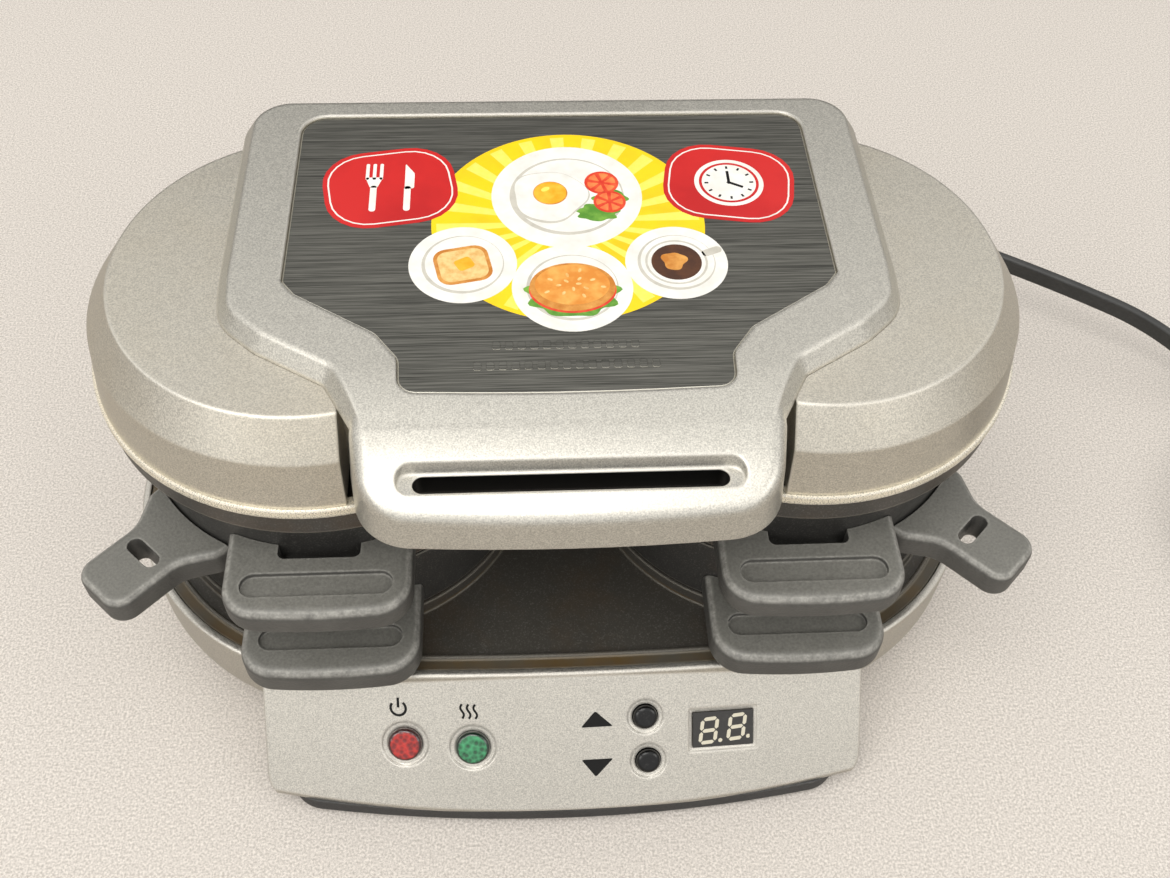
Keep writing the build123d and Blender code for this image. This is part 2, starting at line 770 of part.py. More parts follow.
def pivot_pin(side):
    """The headed pin on which a cooking plate swings, with a collar under the plate."""
    spot = (side * (ring_x + pivot_offset), pivot_offset)
    with BuildPart() as body:
        with BuildSketch(Plane.XY.offset(plate_z - 3.0)):
            with Locations(spot):
                Circle(pin_r)
        extrude(amount=pivot_lug_top + 2 - plate_z + 3.0)
        with BuildSketch(Plane.XY.offset(pivot_lug_top + fit_gap)):
            with Locations(spot):
                Circle(pin_r + 1.8)
        extrude(amount=2.0)
        with BuildSketch(Plane.XY.offset(plate_z - 2.4)):
            with Locations(spot):
                Circle(pin_r + 1.8)
        extrude(amount=2.1)
    return body.part


for side, word in ((-1, "left"), (1, "right")):
    save(ring(side, bottom_ring_z, bottom_arm, bottom_arm_outline, False), f"{word}_bottom_ring")
    save(ring(side, top_ring_z, top_arm, top_arm_outline, True), f"{word}_top_ring")
    save(ring_handle(side, bottom_handle_y, *bottom_handle_z), f"{word}_bottom_handle")
    save(ring_handle(side, top_handle_y, *top_handle_z), f"{word}_top_handle")
    save(ring_screws(side, bottom_handle_z[0]), f"{word}_bottom_handle_screws")
    save(ring_screws(side, top_handle_z[0]), f"{word}_top_handle_screws")
    save(cooking_plate(side), f"{word}_cooking_plate")
    save(plate_handle(side), f"{word}_plate_handle")
    save(plate_screw(side), f"{word}_plate_screw")
    save(pivot_pin(side), f"{word}_pivot_pin")

# ---------------------------------------------------------------- lid: upper heating plate and its parts
with BuildPart() as upper_heating_plate:
    with BuildSketch(Plane.XY.offset(skirt_z)):
        add(peanut(skirt_r, skirt_waist, skirt_r))
    extrude(amount=skirt_top - skirt_z)
    with BuildSketch(Plane.XY.offset(skirt_z + 3)):
        add(peanut(skirt_r - 2.6, skirt_waist - 2.6, skirt_r - 2.6))
    extrude(amount=10, mode=Mode.SUBTRACT)
    with BuildSketch(Plane.XY.offset(pad_z)):
        with Locations((-ring_x, 0), (ring_x, 0)):
            Circle(56)
    extrude(amount=skirt_z - pad_z)
    for spot in lid_screw_spots:
        with BuildSketch(Plane.XY.offset(skirt_z)):
            with Locations(spot):
                Circle(3.0)
        extrude(amount=1.9, mode=Mode.SUBTRACT)
        with BuildSketch(Plane.XY.offset(skirt_z)):
            with Locations(spot):
                Circle(1.6)
        extrude(amount=4, mode=Mode.SUBTRACT)
save(upper_heating_plate.part, "upper_heating_plate")

upper_element_z = skirt_z + 3 + fit_gap + element_r
save(element_loop(upper_element_z), "upper_element")

with BuildPart() as bead_rim:
    with BuildSketch(Plane.XY.offset(bead_z[0])):
        add(peanut(bead_r, skirt_waist + 0.9, bead_r))
        add(peanut(bead_r - 3.2, skirt_waist - 2.3, bead_r - 3.2), mode=Mode.SUBTRACT)
    extrude(amount=bead_z[1] - bead_z[0] - fit_gap)
save(bead_rim.part, "bead_rim")

upper_shield_z = upper_element_z + element_r + 1.4
with BuildPart() as upper_heat_shield:
    with BuildSketch(Plane.XY.offset(upper_shield_z)):
        add(peanut(57.4, 41.6, 57.4))
        with Locations((-12, 50), (12, 50)):
            Circle(4, mode=Mode.SUBTRACT)
        with Locations(*lid_screw_spots):
            Circle(1.6, mode=Mode.SUBTRACT)
        with Locations((0, handle_bay_y + wall + slip - 20)):
            Rectangle(2 * (handle_bay_half + wall + slip), 40, mode=Mode.SUBTRACT)
    extrude(amount=0.8)
save(upper_heat_shield.part, "upper_heat_shield")

with BuildPart() as upper_thermostat:
    with BuildSketch(Plane.XY.offset(skirt_z + 3 + fit_gap)):
        Circle(8)
    extrude(amount=upper_shield_z - skirt_z - 3 - 2 * fit_gap)
save(upper_thermostat.part, "upper_thermostat")

with BuildPart() as thermal_fuse:
    with Locations((0, 16, skirt_z + 3 + fit_gap + 2.2)):
        Cylinder(2.2, 22, rotation=(0, 90, 0))
save(thermal_fuse.part, "thermal_fuse")

terminal_z = upper_shield_z + 0.8 + fit_gap
with BuildPart() as terminal_block:
    with Locations((0, 36, terminal_z)):
        Box(30, 14, 10, align=(Align.CENTER, Align.CENTER, Align.MIN))
    with BuildSketch(Plane.XY.offset(terminal_z + 10)):
        with Locations((-9, 36), (0, 36), (9, 36)):
            Circle(2.4)
    extrude(amount=-3, mode=Mode.SUBTRACT)
save(terminal_block.part, "terminal_block")

with BuildPart() as lid_wiring:
    for side in (-1, 1):
        add(
            round_tube(
                [
                    (side * 9, 36 - 7.1, terminal_z + 4),
                    (side * 9, 14, terminal_z + 4),
                    (side * 30, 8, terminal_z + 4),
                    (side * 52, 8, terminal_z + 6),
                ],
                [3, 3],
                1.3,
            )
        )
save(lid_wiring.part, "lid_wiring")

# ---------------------------------------------------------------- lid cover


def lobe_points(inset):
    """Half profile of a lobe, radius and height, moved in by inset."""
    return [
        (0, bead_z[1] - (1 if inset else 0)),
        (cover_foot_r - inset, bead_z[1] - (1 if inset else 0)),
        (cover_line_2[0] - inset, cover_line_2[1] - inset / 2),
        (cover_line_1[0] - inset * 0.8, cover_line_1[1] - inset),
        (0, cover_line_1[1] - inset),
    ]


def lobe_body(inset, soften):
    """Both lobes and the block that joins them, moved in by inset."""
    bay_half = handle_bay_half + inset
    with BuildPart() as body:
        for side in (-1, 1):
            middle = Plane(origin=(side * ring_x, 0, 0), x_dir=(1, 0, 0), z_dir=(0, -1, 0))
            with BuildSketch(middle) as profile:
                with BuildLine():
                    Polyline(*lobe_points(inset), close=True)
                make_face()
                fillet(profile.vertices().sort_by(Axis.Z)[2], soften)
                crease = profile.vertices().filter_by(lambda v: v.Z > 130 and abs(v.X - side * ring_x) > 5)
                fillet(crease, soften)
            revolve(axis=Axis((side * ring_x, 0, 0), (0, 0, 1)))
        with BuildSketch(Plane.XY.offset(bead_z[1] - (1 if inset else 0))):
            with Locations((0, (cover_rear - inset + handle_bay_y + inset) / 2)):
                Rectangle(2 * ring_x, cover_rear - inset - handle_bay_y - inset)
        extrude(amount=cover_line_1[1] - inset - bead_z[1] + (1 if inset else 0))
        with BuildSketch(Plane.XY.offset(bead_z[1] - 2)):
            with Locations((0, handle_bay_y + inset - 15)):
                Rectangle(2 * bay_half, 30)
        extrude(amount=30, mode=Mode.SUBTRACT)
    return body.part


with BuildPart() as lid_cover:
    add(lobe_body(0, 1.6))
    add(lobe_body(wall, 1.0), mode=Mode.SUBTRACT)
    with BuildSketch(Plane.XY.offset(cover_line_1[1] - wall - 0.5)):
        with Locations((0, 8)):
            Rectangle(110, 60)
    extrude(amount=wall + 1, mode=Mode.SUBTRACT)
    with BuildSketch(Plane.XY.offset(upper_shield_z + 0.8 + fit_gap)):
        with Locations(*lid_screw_spots):
            Circle(3.6)
    extrude(until=Until.NEXT)
    with BuildSketch(Plane.XY.offset(upper_shield_z)):
        with Locations(*lid_screw_spots):
            Circle(1.6)
    extrude(amount=9, mode=Mode.SUBTRACT)
save(lid_cover.part, "lid_cover")


# raised deck, neck and handle in one moulding
def deck_outline(grow):
    """Outline of the raised deck, grown outward by grow."""
    with BuildSketch() as outline:
        with BuildLine():
            FilletPolyline(
                (-neck_flat, neck_foot[1]),
                (-neck_foot[0], neck_foot[1]),
                (-56.5, -40),
                (-75, -28.5),
                (-84, -20),
                (-85, -8),
                (-85, deck_rear),
                (85, deck_rear),
                (85, -8),
                (84, -20),
                (75, -28.5),
                (56.5, -40),
                neck_foot,
                (neck_flat, neck_foot[1]),
                radius=[4, 6, 12, 12, 10, 10, 10, 10, 12, 12, 6, 4],
            )
            Line((neck_flat, neck_foot[1]), (-neck_flat, neck_foot[1]))
        make_face()
        offset(amount=grow, kind=Kind.INTERSECTION)
    return outline.sketch


def handle_arc(drop):
    """Side view of the neck and handle, moved down by drop."""
    start, end, end_z = handle_round
    fall = deck_top - end_z
    turn = 2 * atan(fall / (start - end))
    radius = (start - end) / sin(turn)
    middle = (start - radius * sin(turn / 2), deck_top - radius * (1 - cos(turn / 2)) - drop)
    return start, end, middle, radius


def handle_block(inset, low, rear):
    """The handle seen from above, leaning in a little towards its top, cut by its curved top."""
    start, end, middle, radius = handle_arc(inset)
    front = handle_front + inset
    with BuildPart() as body:
        with BuildSketch(Plane.XY.offset(handle_under)) as plan:
            with BuildLine():
                ThreePointArc((-50 + inset, front + 2.2), (0, front), (50 - inset, front + 2.2))
                Polyline(
                    (50 - inset, front + 2.2),
                    (53.4 - inset, -58),
                    (53.8 - inset, start + 3),
                    (-53.8 + inset, start + 3),
                    (-53.4 + inset, -58),
                    (-50 + inset, front + 2.2),
                )
            make_face()
            fillet(plan.vertices().group_by(Axis.Y)[0], 15 - inset)
        extrude(amount=30, taper=5)
        with BuildSketch(Plane.YZ):
            with BuildLine():
                ThreePointArc(
                    (start, deck_top - inset),
                    (middle[0], middle[1]),
                    (end, handle_round[2] - inset),
                )
                Polyline(
                    (end, handle_round[2] - inset),
                    (end - 5, handle_round[2] - inset - 5),
                    (end - 5, low),
                    (start, low),
                    (start, deck_top - inset),
                )
            make_face()
        extrude(amount=60, both=True, mode=Mode.INTERSECT)
        with BuildSketch(Plane.XY.offset(low)):
            with Locations((0, rear + 15)):
                Rectangle(120, 30)
        extrude(amount=deck_top - low, mode=Mode.SUBTRACT)
    return body.part


def insert_outline(shrink):
    """Outline of the brushed insert, shrunk by shrink."""
    with BuildSketch() as outline:
        with BuildLine():
            FilletPolyline(
                (-20, -49.3),
                (-40.5, -48.6),
                (-41, -38),
                (-47, -29.5),
                (-68, -15.5),
                (-71.3, -11),
                (-71.3, 55),
                (71.3, 55),
                (71.3, -11),
                (68, -15.5),
                (47, -29.5),
                (41, -38),
                (40.5, -48.6),
                (20, -49.3),
                radius=[4.5, 4.5, 5, 2, 2, 7, 7, 2, 2, 5, 4.5, 4.5],
            )
            ThreePointArc((20, -49.3), (0, -49.6), (-20, -49.3))
        make_face()
        offset(amount=-shrink, kind=Kind.INTERSECTION)
    return outline.sketch


with BuildPart() as handle_shell:
    add(handle_block(0, handle_under, handle_round[0]))
    handle_top = handle_shell.faces().sort_by(Axis.Z)[-1]
    fillet(handle_top.edges().filter_by(lambda e: e.center().Y < handle_bay_y - 1), handle_edge)
    fillet(handle_shell.edges().group_by(Axis.Z)[0].filter_by(lambda e: e.center().Y < -60), 0.8)
    with BuildSketch(Plane.XY.offset(handle_under)):
        with Locations((0, handle_bay_y - 0.4 + 15)):
            Rectangle(120, 30)
    extrude(amount=cover_line_1[1] + fit_gap - handle_under, mode=Mode.SUBTRACT)
    add(handle_block(shell_wall, handle_under - 1, handle_bay_y - 3), mode=Mode.SUBTRACT)

with BuildPart() as above_handle:
    arc_start, arc_end, arc_middle, arc_radius = handle_arc(0)
    with BuildSketch(Plane.YZ):
        with BuildLine():
            ThreePointArc((arc_start, deck_top), arc_middle, (arc_end, handle_round[2]))
            Polyline(
                (arc_end, handle_round[2]),
                (arc_end, deck_top + 9),
                (arc_start, deck_top + 9),
                (arc_start, deck_top),
            )
        make_face()
    extrude(amount=70, both=True)

with BuildPart() as slot_walls:
    add(handle_block(1.0, handle_under, handle_bay_y - 3))
    with BuildSketch(Plane.XY.offset(grip_z[1] + slip)):
        with Locations((0, (slot_y[0] + slot_y[1]) / 2)):
            SlotOverall(2 * (slot_half + slot_collar), slot_y[0] - slot_y[1] + 2 * slot_collar)
    extrude(amount=20, mode=Mode.INTERSECT)

with BuildPart() as lid_deck:
    with BuildSketch(Plane.XY.offset(cover_line_1[1] + fit_gap)):
        add(deck_outline(deck_wall))
    deck_height = deck_top - cover_line_1[1] - fit_gap
    extrude(amount=deck_height, taper=degrees(atan(deck_wall / deck_height)))
    fillet(lid_deck.faces().sort_by(Axis.Z)[-1].edges(), 1.4)
    with BuildSketch(Plane.XY.offset(cover_line_1[1])):
        add(insert_outline(5))
    extrude(amount=deck_top - insert_recess - 1.6 - cover_line_1[1], mode=Mode.SUBTRACT)
    add(above_handle.part, mode=Mode.SUBTRACT)
    add(handle_shell.part)
    add(slot_walls.part)
    with BuildSketch(Plane.XY.offset(slot_dish_z)):
        with Locations((0, (slot_y[0] + slot_y[1]) / 2)):
            SlotOverall(2 * (slot_half + slot_dish_lip[0]), slot_y[0] - slot_y[1] + 2 * slot_dish_lip[1])
    extrude(amount=12, taper=-slot_dish_lean, mode=Mode.SUBTRACT)
    with BuildSketch(Plane.XY.offset(deck_top - insert_recess)):
        add(insert_outline(-slip))
    extrude(amount=insert_recess + 1, mode=Mode.SUBTRACT)
    with BuildSketch(Plane.XY.offset(grip_z[1])):
        with Locations((0, (slot_y[0] + slot_y[1]) / 2)):
            SlotOverall(2 * slot_half, slot_y[0] - slot_y[1])
    extrude(amount=20, mode=Mode.SUBTRACT)
save(lid_deck.part, "lid_deck")

with BuildPart() as lid_insert:
    with BuildSketch(Plane.XY.offset(deck_top - insert_recess)):
        add(insert_outline(0))
    extrude(amount=insert_thickness)
    chamfer(lid_insert.faces().sort_by(Axis.Z)[-1].edges(), 0.3)
save(lid_insert.part, "lid_insert")

with BuildPart() as handle_grip:
    add(handle_block(shell_wall + slip, handle_under, handle_bay_y - 3 - slip))
    with BuildSketch(Plane.XY.offset(grip_z[1])):
        Rectangle(200, 200)
    extrude(amount=30, mode=Mode.SUBTRACT)
    extrude(handle_grip.faces().sort_by(Axis.Z)[0], amount=handle_under - grip_z[0])
    with BuildSketch(Plane.XY.offset(grip_z[0])):
        with Locations((0, (slot_y[0] + slot_y[1]) / 2)):
            SlotOverall(2 * slot_half + 2, slot_y[0] - slot_y[1] + 2)
    extrude(amount=30, mode=Mode.SUBTRACT)
save(handle_grip.part, "handle_grip")

# ---------------------------------------------------------------- lid hinge bracket and screws
flange = (62.0, 2.6, 104.0, 127.0)  # front face, thickness, lower and upper edge
with BuildPart() as lid_bracket:
    with Locations((0, flange[0] + flange[1] / 2, (flange[2] + flange[3]) / 2)):
        Box(2 * (lid_arm + arm_width) + 8, flange[1], flange[3] - flange[2])
    for side in (-1, 1):
        with BuildSketch(Plane.YZ.offset(side * (lid_arm + arm_width / 2))):
            with BuildLine():
                Polyline(
                    (flange[0] + 0.5, flange[2]),
                    (flange[0] + 0.5, flange[3] - 3),
                    (flange[0] + 9, flange[3] - 8),
                    (rod_y + 6.6, rod_z + 2),
                    (rod_y - 6, rod_z - 3.4),
                    close=True,
                )
            make_face()
            with Locations((rod_y, rod_z)):
                Circle(rod_boss_r)
                Circle(rod_r + run_gap, mode=Mode.SUBTRACT)
        extrude(amount=arm_width / 2, both=True)
save(lid_bracket.part, "lid_bracket")

with BuildPart() as lid_screws:
    for spot in lid_screw_spots:
        add(screw(spot[0], spot[1], skirt_z + 0.2, 19, 1.5))
save(lid_screws.part, "lid_screws")

# ---------------------------------------------------------------- cord, strain relief and plug
relief_start = (cord_route[0][0], rear_box[1] + fit_gap, cord_route[0][2])
with BuildPart() as strain_relief:
    with BuildSketch(Plane(origin=relief_start, x_dir=(1, 0, 0), z_dir=(0, 1, 0))):
        Circle(8.4)
    extrude(amount=2.4)
    with BuildSketch(Plane(origin=relief_start, x_dir=(1, 0, 0), z_dir=(0, 1, 0))):
        Circle(relief_neck_r)
    extrude(amount=-5)
    relief_length = cord_route[0][1] - relief_start[1]
    with BuildSketch(Plane(origin=relief_start, x_dir=(1, 0, 0), z_dir=(0, 1, 0))):
        Circle(6.8)
    extrude(amount=relief_length, taper=5.5)
    for step in range(3):
        ring_start = Vector(*relief_start) + Vector(0, 6 + 5 * step, 0)
        with BuildSketch(Plane(origin=ring_start, x_dir=(1, 0, 0), z_dir=(0, 1, 0))):
            Circle(10)
            Circle(4.9, mode=Mode.SUBTRACT)
        extrude(amount=1.6, mode=Mode.SUBTRACT)
save(strain_relief.part, "strain_relief")


def runs_and_radii(points):
    """Arc radius for each corner of a route, from the shorter run beside it."""
    places = [Vector(*p) for p in points]
    radii = []
    for before, corner, after in zip(places, places[1:], places[2:]):
        turn = radians((corner - before).get_angle(after - corner))
        shorter = min((corner - before).length, (after - corner).length)
        radii.append(0.45 * shorter / tan(turn / 2))
    return radii


def cord_section(place, heading):
    """Plane across the cord with its X axis upright."""
    return Plane(origin=place, x_dir=(0, 0, 1), z_dir=heading)


cord_radii = runs_and_radii(cord_route)
with BuildPart() as power_cord:
    with BuildLine() as cord_path:
        FilletPolyline(*cord_route, radius=cord_radii)
    cord_line = cord_path.wires()[0]
    with BuildSketch(cord_section(cord_line @ 0, cord_line % 0)):
        SlotOverall(cord_width, cord_thickness)
    sweep(path=cord_line)
save(power_cord.part, "power_cord")
print("cord radii", [round(r, 1) for r in cord_radii])
print("cord length", round(cord_line.length, 1))
cord_area = (cord_width - cord_thickness) * cord_thickness + pi * cord_thickness**2 / 4
print("cord volume against section x length", power_cord.part.volume / (cord_area * cord_line.length))

coil_start = Vector(*cord_route[-1])
coil_heading = (coil_start - Vector(*cord_route[-2])).normalized()
lead = cord_width
coil_angle = -degrees(asin(coil_heading.X)) + 180 if coil_heading.Y > 0 else degrees(asin(coil_heading.X))
coil_entry = coil_start + coil_heading * lead
coil_middle = coil_entry - Vector(cos(radians(coil_angle)), sin(radians(coil_angle)), 0) * coil_outer_r


def coil_place(turns):
    """Point of the coil's middle line after this many turns: in, up a layer, and out again."""
    half = coil_quarters / 8
    radius = coil_outer_r - coil_pitch * (half - abs(turns - half))
    climb = min(max((turns - half) * 2 + 0.5, 0), 1)
    angle = radians(coil_angle - 360 * turns)
    rise = coil_layer * climb * climb * (3 - 2 * climb)
    return coil_middle + Vector(radius * cos(angle), radius * sin(angle), rise)


def coil_tangent(turns):
    """Heading of the coil's middle line."""
    if turns <= 0 or turns >= coil_quarters / 4:
        angle = radians(coil_angle)
        return Vector(sin(angle), -cos(angle), 0)
    return (coil_place(turns + 1e-4) - coil_place(turns - 1e-4)).normalized()


def biarc(start, start_heading, end, end_heading):
    """Two arcs that join two points with given headings."""
    span = end - start
    both = start_heading + end_heading
    flat = 2 * (1 - start_heading.dot(end_heading))
    reach = (-span.dot(both) + sqrt(span.dot(both) ** 2 + flat * span.dot(span))) / flat
    joint = (start + start_heading * reach + end - end_heading * reach) * 0.5
    TangentArc(start, joint, tangent=start_heading)
    return TangentArc(end, joint, tangent=end_heading * -1)


def plug_depth(place):
    """How far a point is along the plug."""
    return (place - coil_end).dot(coil_heading)


with BuildPart() as cord_coil:
    with BuildLine() as coil_path:
        Line(coil_start, coil_entry)
        for quarter in range(coil_quarters):
            here = quarter / 4
            there = (quarter + 1) / 4
            biarc(coil_place(here), coil_tangent(here), coil_place(there), coil_tangent(there))
        coil_exit = coil_place(coil_quarters / 4)
        coil_end = coil_exit + coil_heading * coil_tail
        Line(coil_exit, coil_end)
    coil_line = coil_path.wires()[0]
    with BuildSketch(cord_section(coil_start, coil_heading)):
        SlotOverall(cord_width, cord_thickness)
    sweep(path=coil_line)
save(cord_coil.part, "cord_coil")
print("coil length", round(coil_line.length, 1), "solids", len(cord_coil.part.solids()))
print("coil volume against section x length", cord_coil.part.volume / (cord_area * coil_line.length))


def coil_gap():
    """Least gap between stretches of the coil that lie beside or over each other."""
    least = 1e9
    samples = [coil_place(i / 200 * coil_quarters / 4) for i in range(201)]
    for i, one in enumerate(samples):
        for other in samples[i + 60 :]:
            level = hypot(one.X - other.X, one.Y - other.Y) - cord_thickness
            upright = abs(one.Z - other.Z) - cord_width
            least = min(least, max(level, upright))
    return least


print("coil least gap", round(coil_gap(), 2))

plug_plane = Plane(origin=coil_end, x_dir=(-coil_heading.Y, coil_heading.X, 0), z_dir=coil_heading)
with BuildPart() as plug_body:
    with BuildSketch(plug_plane):
        Circle(4.6)
    with BuildSketch(plug_plane.offset(14)):
        RectangleRounded(17, 12, 5)
    loft()
    with BuildSketch(plug_plane.offset(14)):
        RectangleRounded(24, 15.6, 5)
    extrude(amount=20)
    fillet(plug_body.edges().filter_by(lambda e: plug_depth(e.center()) > 33.9), 1.5)
save(plug_body.part, "plug_body")

with BuildPart() as plug_pins:
    with BuildSketch(plug_plane.offset(34)):
        with Locations((-6.35, 0), (6.35, 0)):
            Rectangle(1.5, 6.3)
    extrude(amount=16)
save(plug_pins.part, "plug_pins")
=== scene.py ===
import math

import bpy
from mathutils import Matrix, Vector


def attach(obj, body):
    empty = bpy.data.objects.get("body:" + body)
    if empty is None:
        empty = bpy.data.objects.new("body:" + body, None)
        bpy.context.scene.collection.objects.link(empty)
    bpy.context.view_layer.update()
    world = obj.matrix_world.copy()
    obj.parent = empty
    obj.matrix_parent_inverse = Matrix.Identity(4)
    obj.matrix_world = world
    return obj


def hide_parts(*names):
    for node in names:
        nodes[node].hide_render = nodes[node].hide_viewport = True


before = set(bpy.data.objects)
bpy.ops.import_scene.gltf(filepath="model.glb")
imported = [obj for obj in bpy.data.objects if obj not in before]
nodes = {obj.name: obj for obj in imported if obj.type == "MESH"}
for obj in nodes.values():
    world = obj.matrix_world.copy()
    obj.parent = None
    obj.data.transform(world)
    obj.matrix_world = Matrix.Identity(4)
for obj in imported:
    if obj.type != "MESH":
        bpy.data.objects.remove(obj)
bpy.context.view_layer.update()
MM = 0.001

# ---------------------------------------------------------------- camera
CAMERA_PLACE = (-11.84, -241.6, 367.46)
CAMERA_FORWARD = (0.05191, 0.61554, -0.78640)
CAMERA_RIGHT = (0.99836, -0.05087, 0.02608)
SENSOR_WIDTH = 36.0
FOCAL_LENGTH = 38.49
CLIP = (0.01, 20.0)

camera_data = bpy.data.cameras.new("camera")
camera_data.sensor_fit = "HORIZONTAL"
camera_data.sensor_width = SENSOR_WIDTH
camera_data.lens = FOCAL_LENGTH
camera_data.clip_start, camera_data.clip_end = CLIP
camera = bpy.data.objects.new("camera", camera_data)
bpy.context.scene.collection.objects.link(camera)
forward = Vector(CAMERA_FORWARD).normalized()
right = Vector(CAMERA_RIGHT).normalized()
up = right.cross(forward).normalized()
place = Matrix((right, up, -forward)).transposed().to_4x4()
place.translation = Vector(CAMERA_PLACE) * MM
camera.matrix_world = place
bpy.context.scene.camera = camera


# ---------------------------------------------------------------- node helpers
class Look:
    """A material under construction, with short ways to add and join nodes."""

    def __init__(self, name):
        self.material = bpy.data.materials.new(name)
        self.material.use_nodes = True
        self.tree = self.material.node_tree
        self.shader = self.tree.nodes["Principled BSDF"]
        self.place = self.add("ShaderNodeTexCoord").outputs["Object"]

    def add(self, kind, inputs=None, **settings):
        made = self.tree.nodes.new(kind)
        for key, value in settings.items():
            setattr(made, key, value)
        for key, value in (inputs or {}).items():
            self.put(made.inputs[key], value)
        return made

    def put(self, socket, value):
        if isinstance(value, bpy.types.NodeSocket):
            self.tree.links.new(value, socket)
        else:
            socket.default_value = value

    def set(self, **values):
        for key, value in values.items():
            self.put(self.shader.inputs[key.replace("_", " ")], value)
        return self

    def math(self, operation, a, b):
        made = self.add("ShaderNodeMath", operation=operation)
        self.put(made.inputs[0], a)
        self.put(made.inputs[1], b)
        return made.outputs[0]

    def spread(self, value, low, high, to_low=0.0, to_high=1.0):
        ends = {"From Min": low, "From Max": high, "To Min": to_low, "To Max": to_high}
        made = self.add("ShaderNodeMapRange", ends)
        self.put(made.inputs["Value"], value)
        return made.outputs["Result"]

    def noise(self, scale, detail=2.0, rough=0.5, stretch=(1, 1, 1)):
        mapped = self.add("ShaderNodeMapping", {"Vector": self.place, "Scale": stretch})
        made = self.add(
            "ShaderNodeTexNoise",
            {"Vector": mapped.outputs[0], "Scale": scale, "Detail": detail, "Roughness": rough},
        )
        return made.outputs["Fac"]

    def mix(self, factor, a, b, blend="MIX"):
        made = self.add("ShaderNodeMix", data_type="RGBA", blend_type=blend)
        self.put(made.inputs["Factor"], factor)
        self.put(made.inputs[6], a)
        self.put(made.inputs[7], b)
        return made.outputs[2]

    def shaded(self, colour, level):
        """The colour made lighter or darker by a grey level."""
        grey = self.add("ShaderNodeCombineColor", {"Red": level, "Green": level, "Blue": level}).outputs[0]
        return self.mix(1.0, colour, grey, "MULTIPLY")

    def between(self, axis, low, high, soft=0.0002):
        """1 where the place on an axis lies between two values."""
        value = self.axis(axis)
        rising = self.spread(value, low - soft, low + soft)
        falling = self.spread(value, high - soft, high + soft, 1.0, 0.0)
        return self.math("MULTIPLY", rising, falling)

    def dot(self, a, b):
        made = self.add("ShaderNodeVectorMath", operation="DOT_PRODUCT")
        self.put(made.inputs[0], a)
        self.put(made.inputs[1], b)
        return made.outputs["Value"]

    def facing(self, direction, low, high):
        """From 0 to 1 as the surface turns to face a direction that moves with its own body."""
        turned = self.add(
            "ShaderNodeVectorTransform", vector_type="NORMAL", convert_from="WORLD", convert_to="OBJECT"
        )
        self.put(turned.inputs[0], self.add("ShaderNodeNewGeometry").outputs["Normal"])
        return self.spread(self.dot(turned.outputs[0], direction), low, high)

    def bump(self, height, strength, distance, normal=None):
        """A normal for fine relief; distance is in metres."""
        made = self.add("ShaderNodeBump", {"Height": height, "Strength": strength, "Distance": distance})
        if normal is not None:
            self.put(made.inputs["Normal"], normal)
        return made.outputs[0]

    def soft_edge(self, radius):
        """A normal that rounds the edges by a radius in metres."""
        return self.add("ShaderNodeBevel", {"Radius": radius}, samples=4).outputs[0]

    def edge(self, radius, low=0.02, high=0.25):
        """1 along convex edges and 0 on flat faces."""
        plain = self.add("ShaderNodeNewGeometry").outputs["Normal"]
        away = self.math("SUBTRACT", 1.0, self.dot(self.soft_edge(radius), plain))
        return self.spread(away, low, high)

    def axis(self, name):
        return self.add("ShaderNodeSeparateXYZ", {"Vector": self.place}).outputs[name]


def rgb(red, green, blue):
    """A colour given in sRGB from 0 to 255, as the linear one that a shader takes."""
    levels = [value / 255 for value in (red, green, blue)]
    return tuple(v / 12.92 if v <= 0.0393 else ((v + 0.055) / 1.055) ** 2.4 for v in levels) + (1.0,)


# the scales of the noises count waves in a metre
FLAKE_SCALE, PEEL_SCALE, CLOUD_SCALE, YELLOWING_SCALE = 2600, 1500, 14, 13
CREASE_HIGHLIGHT, YELLOWED, SLOT_BLACK = rgb(250, 246, 236), rgb(206, 186, 146), rgb(26, 26, 27)


def silver_paint(name, colour, aged=0.0, metallic=0.9, rough=0.36, slot=None):
    """Sprayed silver paint on plastic: metal flakes, an orange-peel skin and rounded creases painted paler as
    a highlight.
    """
    look = Look(name)
    flake = look.noise(FLAKE_SCALE, 1.0, 0.6)
    cloud = look.spread(look.noise(CLOUD_SCALE, 3.0, 0.5), 0.3, 0.7, 0.975, 1.025)
    base = look.shaded(colour, look.math("MULTIPLY", look.spread(flake, 0.3, 0.7, 0.78, 1.22), cloud))
    # painted highlight: convex creases and ridges are mixed towards a pale colour
    base = look.mix(look.math("MULTIPLY", look.edge(0.0014, 0.01, 0.1), 0.75), base, CREASE_HIGHLIGHT)
    if aged:
        yellowing = look.spread(look.noise(YELLOWING_SCALE, 4.0, 0.6), 0.42, 0.75, 0.0, aged)
        base = look.mix(yellowing, base, YELLOWED)
    if slot:
        base = look.mix(slot(look), base, SLOT_BLACK)
    look.set(Base_Color=base, Metallic=metallic)
    look.set(Roughness=look.spread(flake, 0.3, 0.7, rough - 0.07, rough + 0.09))
    look.set(Normal=look.bump(look.noise(PEEL_SCALE, 2.0, 0.6), 0.14, 0.00012, look.soft_edge(0.0012)))
    look.shader.inputs["Specular IOR Level"].default_value = 0.5
    look.shader.inputs["Coat Weight"].default_value = 0.1
    look.shader.inputs["Coat Roughness"].default_value = 0.3
    return look.material


WEAR_SCALE, DUST_SCALE = 420, 60


